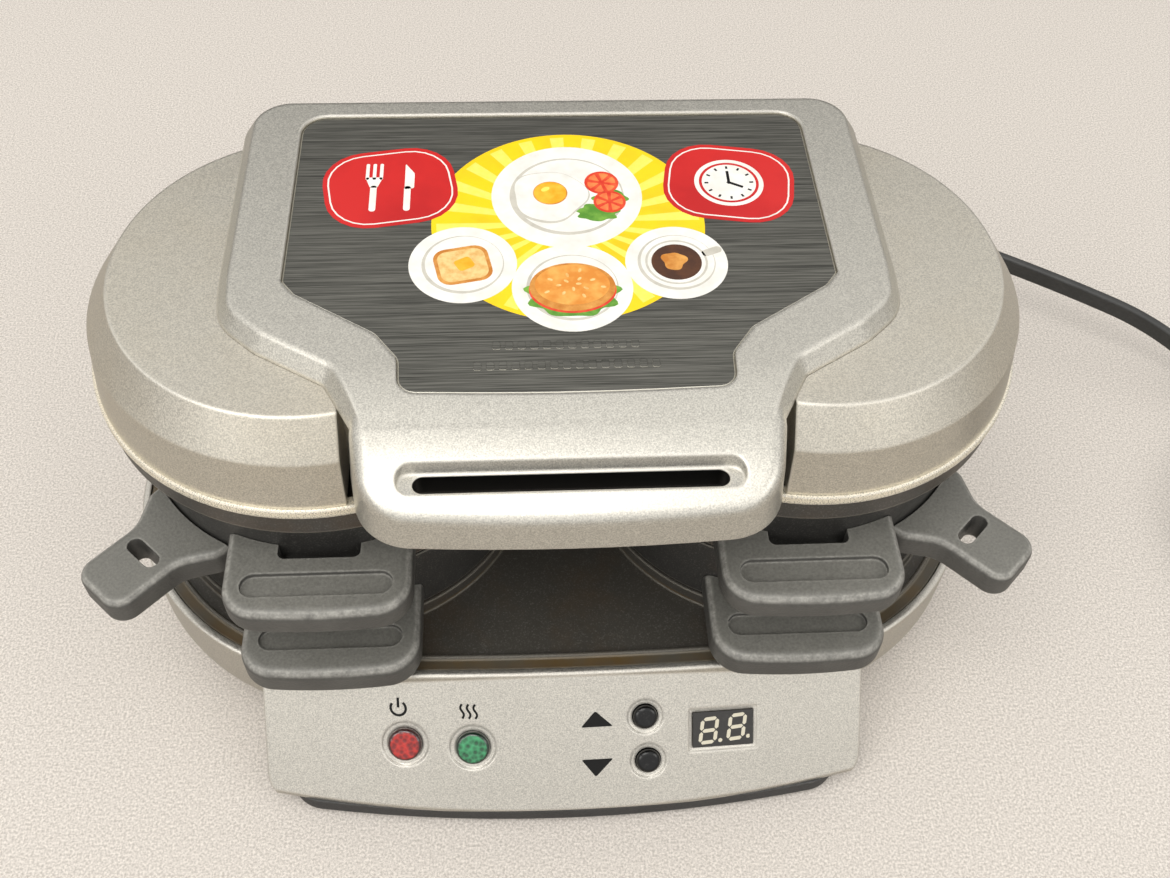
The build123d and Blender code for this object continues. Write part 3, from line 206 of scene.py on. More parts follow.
def moulded(name, colour, worn, rough=0.5, grain=1400, depth=0.0002, wear=0.6, dusty=0.12, upper=None):
    """Moulded plastic with a fine grain, rubbed lighter along its edges and, given an upper colour, paler on
    top with dust and a painted sheen of light from above.
    """
    look = Look(name)
    grained = look.noise(grain, 2.0, 0.6)
    edge = look.edge(0.0013)
    if upper:
        # dust and painted sheen: faces turned up take the paler upper colour
        colour = look.mix(look.facing((0, 0, 1), 0.75, 0.97), colour, upper)
        rounded = look.math("MULTIPLY", look.facing((0, 0, 1), 0.3, 0.62), look.facing((0, 0, 1), 0.97, 0.86))
        edge = look.math("MAXIMUM", edge, rounded)
    broken = look.math("MULTIPLY", edge, look.spread(look.noise(WEAR_SCALE, 4.0, 0.7), 0.34, 0.66, 0.4, 1.0))
    grey = look.math("MULTIPLY", broken, wear)
    dust = look.spread(look.noise(DUST_SCALE, 5.0, 0.65), 0.4, 0.8, 0.0, dusty)
    base = look.mix(look.math("MAXIMUM", grey, dust), colour, worn)
    base = look.shaded(base, look.spread(grained, 0.3, 0.7, 0.84, 1.16))
    look.set(Base_Color=base, Roughness=look.spread(grained, 0.3, 0.7, rough - 0.08, rough + 0.1))
    look.set(Normal=look.bump(grained, 0.35, depth, look.soft_edge(0.0006)))
    return look.material


SPECK_SCALE, BAKED_SCALE, TARNISH_SCALE, SMEAR_SCALE, SPRAY_SCALE = 2300, 34, 46, 240, 1800
SPECK, EDGE_HIGHLIGHT = rgb(138, 136, 130), rgb(176, 170, 156)
DULL_FLANGE, BROWN_FLANGE = rgb(88, 84, 74), rgb(104, 82, 46)


def nonstick(name, colour, stain, rough=0.36, stain_low=0.5, stain_high=0.8, flange=None):
    """Grey non-stick coating with fine metallic specks and baked brown patches."""
    look = Look(name)
    speck = look.spread(look.noise(SPECK_SCALE, 1.0, 0.6), 0.55, 0.75, 0.0, 0.35)
    base = look.mix(speck, colour, SPECK)
    baked = look.spread(look.noise(BAKED_SCALE, 5.0, 0.65), stain_low, stain_high)
    base = look.mix(look.math("MULTIPLY", baked, 0.55), base, stain)
    if flange:
        tarnish = look.spread(look.noise(TARNISH_SCALE, 4.0, 0.6), 0.35, 0.7)
        base = look.mix(flange(look), base, look.mix(tarnish, DULL_FLANGE, BROWN_FLANGE))
    # painted highlight: convex edges, such as the raised lip of the lower plate, are mixed towards a pale
    # colour
    base = look.mix(look.math("MULTIPLY", look.edge(0.0012, 0.01, 0.15), 0.5), base, EDGE_HIGHLIGHT)
    smear = look.noise(SMEAR_SCALE, 4.0, 0.6)
    look.set(Base_Color=base, Metallic=0.25)
    look.set(Roughness=look.spread(smear, 0.3, 0.7, rough - 0.06, rough + 0.1))
    look.set(Normal=look.bump(look.noise(SPRAY_SCALE, 2.0, 0.6), 0.2, 0.0001, look.soft_edge(0.0008)))
    return look.material


def plain_metal(name, colour, rough):
    """Bare metal with a fine grain and smears."""
    look = Look(name)
    grained = look.noise(900, 3.0, 0.6)
    smear = look.noise(60, 4.0, 0.6)
    base = look.shaded(colour, look.spread(grained, 0.3, 0.7, 0.86, 1.12))
    look.set(Base_Color=base, Metallic=1.0)
    look.set(Roughness=look.spread(smear, 0.3, 0.7, rough - 0.05, rough + 0.08))
    look.set(Normal=look.bump(grained, 0.3, 0.00006, look.soft_edge(0.0004)))
    return look.material


BRUSH_DARK, BRUSH_PALE = rgb(64, 64, 60), rgb(132, 131, 124)
SCRATCH, CUT_METAL_AND_HIGHLIGHT = rgb(190, 188, 180), rgb(226, 222, 210)


def brushed_plate(name):
    """Dark steel brushed across, with bright cut edges of bare metal and a painted highlight, and a few stray
    scratches.
    """
    look = Look(name)
    fine = look.noise(3200, 3.0, 0.7, (0.012, 1.0, 0.3))
    coarse = look.noise(900, 3.0, 0.6, (0.02, 1.0, 0.3))
    both = look.math("ADD", look.math("MULTIPLY", fine, 0.82), look.math("MULTIPLY", coarse, 0.18))
    base = look.mix(look.spread(both, 0.36, 0.64), BRUSH_DARK, BRUSH_PALE)
    tilted = {"Vector": look.place, "Scale": (1.0, 0.12, 1.0), "Rotation": (0, 0, 0.9)}
    scratch = look.add(
        "ShaderNodeTexNoise",
        {"Scale": 70.0, "Detail": 6.0, "Roughness": 0.85, "Distortion": 1.5},
        noise_type="RIDGED_MULTIFRACTAL",
    )
    look.put(scratch.inputs["Vector"], look.add("ShaderNodeMapping", tilted).outputs[0])
    marks = look.spread(scratch.outputs["Fac"], 0.985, 1.06, 0.0, 0.25)
    base = look.mix(marks, base, SCRATCH)
    # bare cut metal and a painted highlight: faces that turn from the top take the pale colour
    base = look.mix(look.facing((0, 0, 1), 0.97, 0.8), base, CUT_METAL_AND_HIGHLIGHT)
    look.set(Base_Color=base, Metallic=0.7, Roughness=look.spread(both, 0.3, 0.7, 0.34, 0.48))
    look.set(Normal=look.bump(both, 0.3, 0.00006, look.soft_edge(0.0003)))
    look.shader.inputs["Anisotropic"].default_value = 0.6
    look.put(look.shader.inputs["Tangent"], look.add("ShaderNodeCombineXYZ", {"X": 1.0}).outputs[0])
    return look.material


PANEL_FACING = (0.0, -0.742, 0.67)
LENS_CELLS = 760
DUST = rgb(150, 148, 142)


def lens_glass(name, shaded_rim, middle, pale):
    """Moulded indicator lens with a finely cut underside: a rim painted darker as shade and a middle painted
    paler in small cells as glints.
    """
    look = Look(name)
    cut = look.add("ShaderNodeTexVoronoi", {"Vector": look.place, "Scale": LENS_CELLS}).outputs["Distance"]
    shade = look.spread(cut, 0.3, 0.95)
    # painted glints: the middle colour turns pale over the cells of the cut
    base = look.mix(shade, middle, pale)
    # painted shade: the rim, turned away from the panel, takes the darker rim colour
    base = look.mix(look.facing(PANEL_FACING, 0.995, 0.9), base, shaded_rim)
    look.set(Base_Color=base, Roughness=0.14)
    look.set(Normal=look.bump(cut, 0.5, 0.0004))
    look.shader.inputs["Coat Weight"].default_value = 1.0
    look.shader.inputs["Coat Roughness"].default_value = 0.05
    look.shader.inputs["Transmission Weight"].default_value = 0.12
    return look.material


def gloss(name, colour, rough, coat):
    """Glossy moulding with faint dust and rubbed patches."""
    look = Look(name)
    dust = look.spread(look.noise(700, 4.0, 0.7), 0.55, 0.8, 0.0, 0.08)
    base = look.mix(dust, colour, DUST)
    look.set(Base_Color=base, Roughness=look.spread(look.noise(300, 3.0, 0.6), 0.3, 0.7, rough, rough + 0.1))
    look.set(Normal=look.bump(look.noise(500, 2.0, 0.5), 0.08, 0.0001, look.soft_edge(0.0004)))
    look.shader.inputs["Coat Weight"].default_value = coat
    look.shader.inputs["Coat Roughness"].default_value = 0.08
    return look.material


def printed(name, colour, second=None, scale=700, rough=0.28, shine=0.5):
    """Printed ink or film: one colour, mottled into a second one, or a little into white."""
    look = Look(name)
    mottle = look.spread(look.noise(scale, 3.0, 0.6), 0.4, 0.7)
    share = look.math("MULTIPLY", mottle, 1.0 if second else 0.06)
    base = look.mix(share, colour, second or rgb(255, 255, 255))
    look.set(Base_Color=base, Roughness=look.spread(mottle, 0.0, 1.0, rough, rough + 0.06))
    look.set(Normal=look.bump(look.noise(900, 2.0, 0.5), 0.05, 0.00005))
    look.shader.inputs["Specular IOR Level"].default_value = shine
    return look.material


# the slot in the handle and the flange of the lower plate, in metres in the frame of the model
SLOT_X, SLOT_Y, SLOT_Z = (-0.0385, 0.0385), (-0.0733, -0.0665), (0.11, 0.1328)
FLANGE_Z = (0.0402, 0.0409)


def inside_slot(look):
    """The walls of the slot in the handle, under the silver ledge of its dish."""
    plan = look.math("MULTIPLY", look.between("X", *SLOT_X), look.between("Y", *SLOT_Y))
    return look.math("MULTIPLY", plan, look.between("Z", *SLOT_Z))


def outer_flange(look):
    """The flange of the lower plate outside its raised lip."""
    return look.between("Z", *FLANGE_Z, 0.0001)


# what black and grey mouldings wear to
GREY = rgb(122, 121, 118)
WORN = rgb(196, 194, 186)
looks = {
    "base_paint": silver_paint("base_silver", rgb(208, 204, 195)),
    "deck_paint": silver_paint("deck_silver", rgb(208, 205, 196), slot=inside_slot),
    "lobe_paint": silver_paint("lobe_silver", rgb(210, 205, 193), 0.22),
    "bead": silver_paint("bead_silver", rgb(236, 228, 208), 0.4, 0.5, 0.3),
    "shell": moulded("black_moulding", rgb(44, 44, 45), GREY, 0.5),
    # the handles' paler upper colour is dust and a painted sheen on their tops
    "handle": moulded(
        "phenolic",
        rgb(72, 71, 68),
        WORN,
        rough=0.42,
        grain=1300,
        depth=0.0003,
        wear=0.52,
        dusty=0.07,
        upper=rgb(112, 111, 105),
    ),
    "insert": brushed_plate("brushed_insert"),
    "plate": nonstick("nonstick_plate", rgb(70, 67, 63), rgb(92, 70, 46)),
    "lower_plate": nonstick("lower_nonstick", rgb(76, 73, 67), rgb(92, 74, 52), flange=outer_flange),
    "ring": nonstick("ring_coating", rgb(56, 55, 53), rgb(84, 66, 48), 0.34, 0.6, 0.9),
    "steel": plain_metal("plain_steel", rgb(176, 174, 168), 0.3),
    "board": printed("board_green", rgb(26, 84, 44), rgb(16, 62, 32), 500),
    "component": moulded("component_black", rgb(30, 30, 31), rgb(80, 80, 80), 0.5),
    "terminal": printed("terminal_white", rgb(214, 210, 198), rgb(200, 194, 180), 300, rough=0.45),
    "glass": gloss("display_glass", rgb(30, 27, 24), 0.08, 0.8),
    # each lens: a rim colour painted as shade, a middle colour, and a paler colour painted as glints
    "red": lens_glass("red_lens", rgb(52, 2, 2), rgb(128, 8, 6), rgb(214, 40, 26)),
    "green": lens_glass("green_lens", rgb(2, 34, 20), rgb(10, 82, 46), rgb(64, 168, 110)),
    "button": gloss("button_black", rgb(5, 5, 6), 0.05, 0.0),
    "rubber": moulded("cord_rubber", rgb(52, 52, 51), rgb(110, 110, 108), 0.42, 900, 0.0001, 0.3, 0.15),
    "brass": plain_metal("pin_brass", rgb(206, 176, 104), 0.25),
    "wire": moulded("wire_sleeve", rgb(196, 190, 178), rgb(220, 214, 200), 0.6),
}

SIDES = ("left", "right")
SIDE_STEEL = ("bottom_handle_screws", "top_handle_screws", "plate_screw", "pivot_pin")
HEAT_STEEL = ["lower_heat_shield", "upper_heat_shield", "lower_element", "upper_element"]
HINGE_STEEL = ["hinge_rod", "rod_clips", "lid_bracket", "lid_screws"]

# the nodes that wear each look
dressed = {
    "base_paint": ["base_housing"],
    "deck_paint": ["lid_deck"],
    "lobe_paint": ["lid_cover"],
    "bead": ["bead_rim"],
    "shell": ["base_tray", "rubber_feet", "hinge_tower", "handle_grip", "strain_relief"],
    "insert": ["lid_insert"],
    "lower_plate": ["lower_heating_plate"],
    "plate": ["upper_heating_plate", "left_cooking_plate", "right_cooking_plate"],
    "ring": [f"{side}_{level}_ring" for side in SIDES for level in ("bottom", "top")],
    "handle": [f"{side}_{level}_handle" for side in SIDES for level in ("bottom", "top", "plate")],
    "steel": HEAT_STEEL + HINGE_STEEL + [f"{side}_{piece}" for side in SIDES for piece in SIDE_STEEL],
    "board": ["control_board"],
    "component": ["tact_switches", "relay", "display_module"],
    "terminal": ["terminal_block", "lower_thermostat", "upper_thermostat", "thermal_fuse", "indicator_leds"],
    "glass": ["display_window"],
    "red": ["red_lens"],
    "green": ["green_lens"],
    "button": ["up_button", "down_button"],
    "rubber": ["plug_body"],
    "brass": ["plug_pins"],
    "wire": ["lid_wiring"],
}
for look_name, members in dressed.items():
    for member in members:
        node = nodes[member]
        node.data.materials.clear()
        node.data.materials.append(looks[look_name])


# ---------------------------------------------------------------- mesh helpers
def mesh_piece(name, vertices, faces, materials, body):
    """A new piece from points in metres, which rides on a body."""
    mesh = bpy.data.meshes.new(name)
    mesh.from_pydata([tuple(v) for v in vertices], [], faces)
    mesh.validate()
    mesh.update()
    piece = bpy.data.objects.new(name, mesh)
    bpy.context.scene.collection.objects.link(piece)
    for material in materials:
        mesh.materials.append(material)
    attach(piece, body)
    return piece


def prisms(name, shapes, on_surface, body):
    """Thin raised shapes: each is (outline, low, high, material), placed by on_surface(x, y, lift)."""
    vertices, faces, kinds, materials = [], [], [], []
    for outline, low, high, material in shapes:
        if material not in materials:
            materials.append(material)
        area = sum(a[0] * b[1] - b[0] * a[1] for a, b in zip(outline, outline[1:] + outline[:1]))
        if area < 0:
            outline = outline[::-1]
        first, count = len(vertices), len(outline)
        vertices += [on_surface(x, y, low) for x, y in outline]
        vertices += [on_surface(x, y, high) for x, y in outline]
        faces.append([first + i for i in reversed(range(count))])
        faces.append([first + count + i for i in range(count)])
        for i in range(count):
            j = (i + 1) % count
            faces.append([first + i, first + j, first + count + j, first + count + i])
        kinds += [materials.index(material)] * (count + 2)
    piece = mesh_piece(name, vertices, faces, materials, body)
    piece.data.polygons.foreach_set("material_index", kinds)
    return piece


def turned_by(x, y, a, b, turn):
    """The point (a, b) turned by an angle and moved to (x, y)."""
    return (x + a * math.cos(turn) - b * math.sin(turn), y + a * math.sin(turn) + b * math.cos(turn))


def disc(x, y, across, down=None, turn=0.0, count=48):
    """Outline of a circle or an oval."""
    down = across if down is None else down
    angles = [2 * math.pi * i / count for i in range(count)]
    return [turned_by(x, y, across * math.cos(angle), down * math.sin(angle), turn) for angle in angles]


def stroke(points, width):
    """Outline of a line of even width."""
    left, other = [], []
    for i, point in enumerate(points):
        before = points[max(i - 1, 0)]
        after = points[min(i + 1, len(points) - 1)]
        along = Vector((after[0] - before[0], after[1] - before[1])).normalized()
        aside = Vector((-along.y, along.x)) * width / 2
        left.append((point[0] + aside.x, point[1] + aside.y))
        other.append((point[0] - aside.x, point[1] - aside.y))
    return left + other[::-1]


def rounded_box(x, y, width, height, radius, turn=0.0, steps=6):
    """Outline of a rectangle with round corners."""
    made = []
    for quarter, (sx, sy) in enumerate(((1, 1), (-1, 1), (-1, -1), (1, -1))):
        for i in range(steps + 1):
            angle = math.pi / 2 * (quarter + i / steps)
            a = sx * (width / 2 - radius) + radius * math.cos(angle)
            b = sy * (height / 2 - radius) + radius * math.sin(angle)
            made.append(turned_by(x, y, a, b, turn))
    return made


def rounded_polygon(corners, radius, steps=5):
    """Outline with each corner rounded, starting the radius away from it."""
    made = []
    count = len(corners)
    for i in range(count):
        here = Vector(corners[i])
        back = (Vector(corners[i - 1]) - here).normalized()
        on = (Vector(corners[(i + 1) % count]) - here).normalized()
        start, end = here + back * radius, here + on * radius
        for k in range(steps + 1):
            t = k / steps
            point = (1 - t) ** 2 * start + 2 * t * (1 - t) * here + t * t * end
            made.append((point.x, point.y))
    return made


# ---------------------------------------------------------------- cord
CORD_WIDTH, CORD_THICKNESS = 7.6, 3.8
SECTION_POINTS = 24
SEAM_PINCH, SEAM_HALF = 0.86, 0.2


def flat_lead(name, points, width, thickness):
    """A flat two-core lead standing on its edge, along one open spline."""
    profile_data = bpy.data.curves.new(name + "_profile", "CURVE")
    profile_data.dimensions = "2D"
    section = profile_data.splines.new("POLY")
    outline = []
    for i in range(SECTION_POINTS):
        angle = 2 * math.pi * (i + 0.5) / SECTION_POINTS
        core = math.copysign((width - thickness) / 2, math.sin(angle))
        pinch = SEAM_PINCH if abs(math.sin(angle)) < SEAM_HALF else 1.0
        outline.append((thickness / 2 * math.cos(angle) * pinch, core + thickness / 2 * math.sin(angle)))
    section.points.add(len(outline) - 1)
    for point, (x, y) in zip(section.points, outline):
        point.co = (x, y, 0, 1)
    section.use_cyclic_u = True
    profile = bpy.data.objects.new(name + "_profile", profile_data)
    bpy.context.scene.collection.objects.link(profile)
    profile.hide_render = True
    profile.hide_viewport = True
    curve = bpy.data.curves.new(name, "CURVE")
    curve.dimensions = "3D"
    curve.twist_mode = "Z_UP"
    curve.resolution_u = 10
    curve.bevel_mode = "OBJECT"
    curve.bevel_object = profile
    curve.use_fill_caps = True
    spline = curve.splines.new("NURBS")
    spline.points.add(len(points) - 1)
    for point, spot in zip(spline.points, points):
        point.co = (*spot, 1)
    spline.order_u = 3
    spline.use_endpoint_u = True
    piece = bpy.data.objects.new(name, curve)
    bpy.context.scene.collection.objects.link(piece)
    return piece


cord_route = [
    (24.0, 122.0, 22.0),
    (24.0, 156.0, 22.0),
    (47.9, 181.6, 22.5),
    (85.8, 184.3, 23.5),
    (120.0, 157.0, 25.0),
    (160.0, 122.5, 26.0),
    (200.0, 98.5, 25.0),
    (238.0, 77.0, 20.0),
    (268.0, 45.5, 3.8),
    (293.9, 26.7, 3.8),
]
# two turns, the second lying on the first, and a straight end into the plug
COIL_MIDDLE = (272.44, -15.80, 3.8)
COIL_HEADING = (0.8093, -0.5874, 0.0)
COIL_END = (330.8, -0.1, 11.9)
COIL_LEAD_IN = 12.0
COIL_START_ANGLE = 54.03
COIL_RADIUS, COIL_TIGHTER_BY, COIL_RISE = 47.0, 9.0, 8.1
TURN_POINTS = 16
coil_points = []
for i in range(2 * TURN_POINTS + 1):
    turns = i / TURN_POINTS
    climb = min(max((turns - 1) * 2 + 0.5, 0), 1)
    radius = COIL_RADIUS - COIL_TIGHTER_BY * (1 - abs(turns - 1))
    radius /= math.cos(math.pi / TURN_POINTS) ** 0.5
    angle = math.radians(COIL_START_ANGLE - 360 * turns)
    x, y, z = COIL_MIDDLE
    rise = COIL_RISE * climb * climb * (3 - 2 * climb)
    coil_points.append((x + radius * math.cos(angle), y + radius * math.sin(angle), z + rise))
before_end = tuple(a - b * COIL_LEAD_IN for a, b in zip(COIL_END, COIL_HEADING))
lead_points = [Vector(p) * MM for p in cord_route + coil_points + [before_end, COIL_END]]
lead = flat_lead("power_lead", lead_points, CORD_WIDTH * MM, CORD_THICKNESS * MM)
lead.data.materials.append(looks["rubber"])
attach(lead, "base")
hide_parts("power_cord", "cord_coil")

# ---------------------------------------------------------------- control panel details
PANEL_TOP = (-72.1, 40.9)
PANEL_FOOT = (-100.2, 9.8)
PANEL_CURVE = 1.26e-3
panel_slope = math.hypot(PANEL_FOOT[0] - PANEL_TOP[0], PANEL_FOOT[1] - PANEL_TOP[1])
panel_down = ((PANEL_FOOT[0] - PANEL_TOP[0]) / panel_slope, (PANEL_FOOT[1] - PANEL_TOP[1]) / panel_slope)


def on_panel(x, minus_s, lift):
    """Point on the curved control panel: x across, minus_s up its slope (0 at its top edge)."""
    s = -minus_s
    lean = 2 * PANEL_CURVE * x * -panel_down[1]
    normal = Vector((lean, panel_down[1], -panel_down[0])).normalized()
    y = PANEL_TOP[0] + panel_down[0] * s + PANEL_CURVE * x * x
    z = PANEL_TOP[1] + panel_down[1] * s
    return (Vector((x, y, z)) + normal * lift) * MM


# a power sign, three heat waves and two arrows
ink = printed("panel_ink", rgb(15, 15, 15), rgb(21, 20, 20), 900, rough=0.45, shine=0.25)
PRINT = (-0.1, 0.05)
POWER_X, POWER_Y, POWER_R, POWER_LINE = -49, -11.5, 2.2, 0.75
HEAT_X, HEAT_FOOT, HEAT_GAP, HEAT_SWING, HEAT_LINE = -28.6, -13.6, 1.9, 0.5, 0.65
ARROW_UP = [(8.1, -11.7), (3.9, -16.6), (13.3, -16.6)]
ARROW_DOWN = [(8.1, -32.1), (3.9, -26.6), (13.3, -26.6)]
arc = [math.radians(a) for a in range(38, 323, 15)]
open_ring = [(POWER_X + POWER_R * math.sin(a), POWER_Y + POWER_R * math.cos(a)) for a in arc]
outlines = [stroke(open_ring, POWER_LINE), stroke([(POWER_X, -8.3), (POWER_X, -11.3)], POWER_LINE)]
for k in (-1, 0, 1):
    swings = [HEAT_SWING * math.sin(t / 10 * 2 * math.pi) for t in range(11)]
    wave = [(HEAT_X + HEAT_GAP * k + swing, HEAT_FOOT + 0.44 * t) for t, swing in enumerate(swings)]
    outlines.append(stroke(wave, HEAT_LINE))
outlines += [rounded_polygon(arrow, 0.7) for arrow in (ARROW_UP, ARROW_DOWN)]
prisms("panel_marks", [(outline, *PRINT, ink) for outline in outlines], on_panel, "base")

cream = printed("digit_cream", rgb(206, 200, 180), rough=0.35)
dark_film = printed("digit_film", rgb(52, 46, 38), rgb(44, 38, 32), rough=0.3)


DISPLAY_X, DISPLAY_Y = 46.0, -21.0
DIGIT_X = (-4.3, 4.1)
DIGIT_HALF_WIDTH, DIGIT_HALF_HEIGHT, SLANT = 2.2, 3.6, 0.12
BAR_HALF, BAR_POINT, BAR_GAP = 0.55, 0.5, 0.25
DOT_X, DOT_RISE, DOT_R = 3.45, 0.1, 0.62
FILM, LIT = (0.0, 0.02), (0.0, 0.06)


def on_display(x, minus_s, lift):
    return on_panel(DISPLAY_X + x, DISPLAY_Y + minus_s, lift)


def bar(low, high, middle, upright):
    """Outline of one pointed bar of a digit, from low to high along its length."""
    ends = [(low, 0), (low + BAR_POINT, BAR_HALF), (high - BAR_POINT, BAR_HALF)]
    ends += [(high, 0), (high - BAR_POINT, -BAR_HALF), (low + BAR_POINT, -BAR_HALF)]
    return [(middle + aside, along) if upright else (along, middle + aside) for along, aside in ends]


outlines = []
for digit_x in DIGIT_X:
    width, height = DIGIT_HALF_WIDTH, DIGIT_HALF_HEIGHT
    bars = [bar(-width + BAR_GAP, width - BAR_GAP, y, False) for y in (-height, 0.0, height)]
    for x in (-width, width):
        bars += [bar(-height + BAR_GAP, -BAR_GAP, x, True), bar(BAR_GAP, height - BAR_GAP, x, True)]
    outlines += [[(digit_x + x + SLANT * y, y) for x, y in points] for points in bars]
    outlines.append(disc(digit_x + DOT_X, -height + DOT_RISE, DOT_R, count=20))
digits = [(rounded_box(0, 0, 17.0, 9.6, 0.4), *FILM, dark_film)]
digits += [(outline, *LIT, cream) for outline in outlines]
prisms("display_digits", digits, on_display, "base")


# ---------------------------------------------------------------- corners of the rear box
# the box's hollow breaks through its round rear corners, so a curved wall closes each from inside
CORNER_X, CORNER_Y, CORNER_OUTER, CORNER_INNER = 32.0, 88.2, 11.96, 9.36
CORNER_Z = (5.0, 39.8)


def on_model(x, y, z):
    return Vector((x, y, z)) * MM


corners = []
for side in (-1, 1):
    arc = [math.radians(a) for a in range(27, 64, 3)]
    outer, inner = (
        [(side * (CORNER_X + r * math.cos(a)), CORNER_Y + r * math.sin(a)) for a in arc]
        for r in (CORNER_OUTER, CORNER_INNER)
    )
    corners.append((outer + inner[::-1], *CORNER_Z, looks["base_paint"]))
prisms("rear_box_corners", corners, on_model, "base")


# ---------------------------------------------------------------- printed decoration on the insert
INSERT_TOP = 140.3


def on_insert(x, y, lift):
    return Vector((x, y, INSERT_TOP + lift)) * MM


yellow = printed("print_yellow", rgb(250, 214, 8), rgb(250, 200, 10), 90)
pale_yellow = printed("print_pale_yellow", rgb(255, 232, 92))
red = printed("print_red", rgb(206, 30, 28), rgb(190, 20, 22), 60)
white = printed("print_white", rgb(244, 242, 236), rgb(228, 226, 218), 150)
shade = printed("print_shade", rgb(206, 202, 190), rgb(190, 186, 174), 300)
yolk = printed("print_yolk", rgb(250, 168, 18), rgb(255, 196, 60), 260)
crust = printed("print_crust", rgb(196, 122, 40), rgb(228, 166, 84), 260)
crumb = printed("print_crumb", rgb(240, 208, 140), rgb(222, 170, 92), 420)
tomato = printed("print_tomato", rgb(216, 52, 30), rgb(236, 92, 52), 300)
leaf = printed("print_leaf", rgb(84, 142, 44), rgb(124, 176, 66), 300)
print_orange = printed("print_orange", rgb(240, 112, 62), rgb(250, 150, 80), 300)
bun_top = printed("print_bun", rgb(222, 140, 50), rgb(244, 186, 96), 160)
coffee = printed("print_coffee", rgb(70, 38, 20), rgb(96, 56, 28), 200)
SUNK, FIRST_LAYER, LAYER_STEP = -0.05, 0.03, 0.006


def layer(n):
    """Foot and top of the nth layer of print."""
    return (SUNK, FIRST_LAYER + LAYER_STEP * n)


def wavy(x, y, radius, swing, waves, phase=0.0, squash=1.0, count=64):
    """Outline of an uneven blot."""
    made = []
    for i in range(count):
        angle = 2 * math.pi * i / count
        ripple = math.sin(waves * angle + phase) + 0.6 * math.sin((waves + 2) * angle + 2 * phase)
        r = radius * (1 + swing * ripple)
        made.append((x + r * math.cos(angle), y + squash * r * math.sin(angle)))
    return made


# a sun with rays behind everything
SUN = (2.5, 10.0)
art = [(disc(*SUN, 36.5, count=96), *layer(0), yellow)]
RAYS, RAY_SHARE, RAY_FROM, RAY_TO = 24, 0.42, 8, 35.2
for k in range(RAYS):
    a, b = 2 * math.pi * k / RAYS, 2 * math.pi * (k + RAY_SHARE) / RAYS
    ends = ((RAY_FROM, a), (RAY_TO, a), (RAY_TO, b), (RAY_FROM, b))
    ray = [(SUN[0] + r * math.cos(t), SUN[1] + r * math.sin(t)) for r, t in ends]
    art.append((ray, *layer(1), pale_yellow))


def plate(x, y, radius, first):
    """A white plate seen from above: rim, well and a soft shadow line between them."""
    art.append((disc(x, y, radius, count=72), *layer(first), white))
    art.append((disc(x, y, radius * 0.76, count=72), *layer(first + 1), shade))
    art.append((disc(x + 0.3, y + 0.3, radius * 0.72, count=72), *layer(first + 2), white))


def slice_of(x, y, radius, first, skin, flesh, turn=0.0):
    """A round slice with wedges inside its skin."""
    art.append((disc(x, y, radius, count=40), *layer(first), skin))
    for k in range(6):
        angle = turn + 2 * math.pi * k / 6
        wedge = [(0.16, 0), (0.78, -0.3), (0.84, 0), (0.78, 0.3)]
        outline = [turned_by(x, y, radius * u, radius * v, angle) for u, v in wedge]
        art.append((rounded_polygon(outline, radius * 0.08), *layer(first + 1), flesh))


# red badges in the upper corners, with a knife and fork on one and a clock on the other
for side in (-1, 1):
    x, y, turn = side * 46.5 + 1, 25.0, -0.16 * side
    art.append((rounded_box(x, y, 36, 31, 12, turn), *layer(2), red))
    inner = rounded_box(x, y, 33, 28, 10.6, turn)
    art.append((stroke(inner + inner[:1], 0.45), *layer(3), white))
FORK_X, FORK_Y = -50.0, 25.0
for k in (-1, 0, 1):
    art.append((rounded_box(FORK_X + 1.9 * k, FORK_Y + 6.4, 0.95, 6.6, 0.4), *layer(4), white))
neck = [(-2.4, 4.0), (2.4, 4.0), (1.0, -0.2), (-1.0, -0.2)]
art.append((rounded_polygon([(FORK_X + x, FORK_Y + y) for x, y in neck], 0.6), *layer(4), white))
art.append((rounded_box(FORK_X, FORK_Y - 4.6, 1.8, 10.4, 0.85), *layer(4), white))
blade = [(-41.6, 34.6), (-39.0, 30.5), (-39.0, 24.4), (-41.6, 24.0)]
art.append((rounded_polygon(blade, 0.6), *layer(4), white))
art.append((rounded_box(-40.8, 20.3, 1.8, 10.0, 0.85), *layer(4), white))
CLOCK_X, CLOCK_Y = 47.5, 25.0
for n, (radius, colour) in enumerate(((9.6, white), (8.3, red), (7.5, white))):
    art.append((disc(CLOCK_X, CLOCK_Y, radius, count=64), *layer(4 + n), colour))
for k in range(12):
    angle = math.pi * k / 6
    tick = [(CLOCK_X + r * math.sin(angle), CLOCK_Y + r * math.cos(angle)) for r in (5.7, 6.8)]
    art.append((stroke(tick, 0.6), *layer(7), ink))
art.append((stroke([(CLOCK_X, 24.4), (CLOCK_X, 29.8)], 0.8), *layer(7), ink))
art.append((stroke([(47.0, 25.3), (51.2, 23.0)], 0.9), *layer(8), ink))
# fried egg, tomato and leaves on the plate in the middle
plate(2.5, 20.5, 20.5, 2)
art.append((wavy(10.5, 13.6, 5.6, 0.09, 7, 0.4, 0.62), *layer(5), leaf))
art.append((wavy(14.2, 19.0, 4.6, 0.10, 6, 1.4, 0.8), *layer(5), leaf))
slice_of(12.2, 25.6, 4.7, 6, tomato, print_orange, 0.3)
slice_of(14.0, 17.8, 4.4, 7, tomato, print_orange, 0.0)
art.append((wavy(-2.4, 20.3, 10.4, 0.055, 3, 0.8), *layer(6), shade))
art.append((wavy(-2.2, 20.6, 9.9, 0.055, 3, 0.8), *layer(7), white))
art.append((disc(-2.0, 21.6, 4.7), *layer(8), crust))
art.append((disc(-2.0, 21.7, 4.4), *layer(9), yolk))
art.append((disc(-3.3, 23.2, 1.3, 0.8, 0.6, 20), *layer(10), pale_yellow))
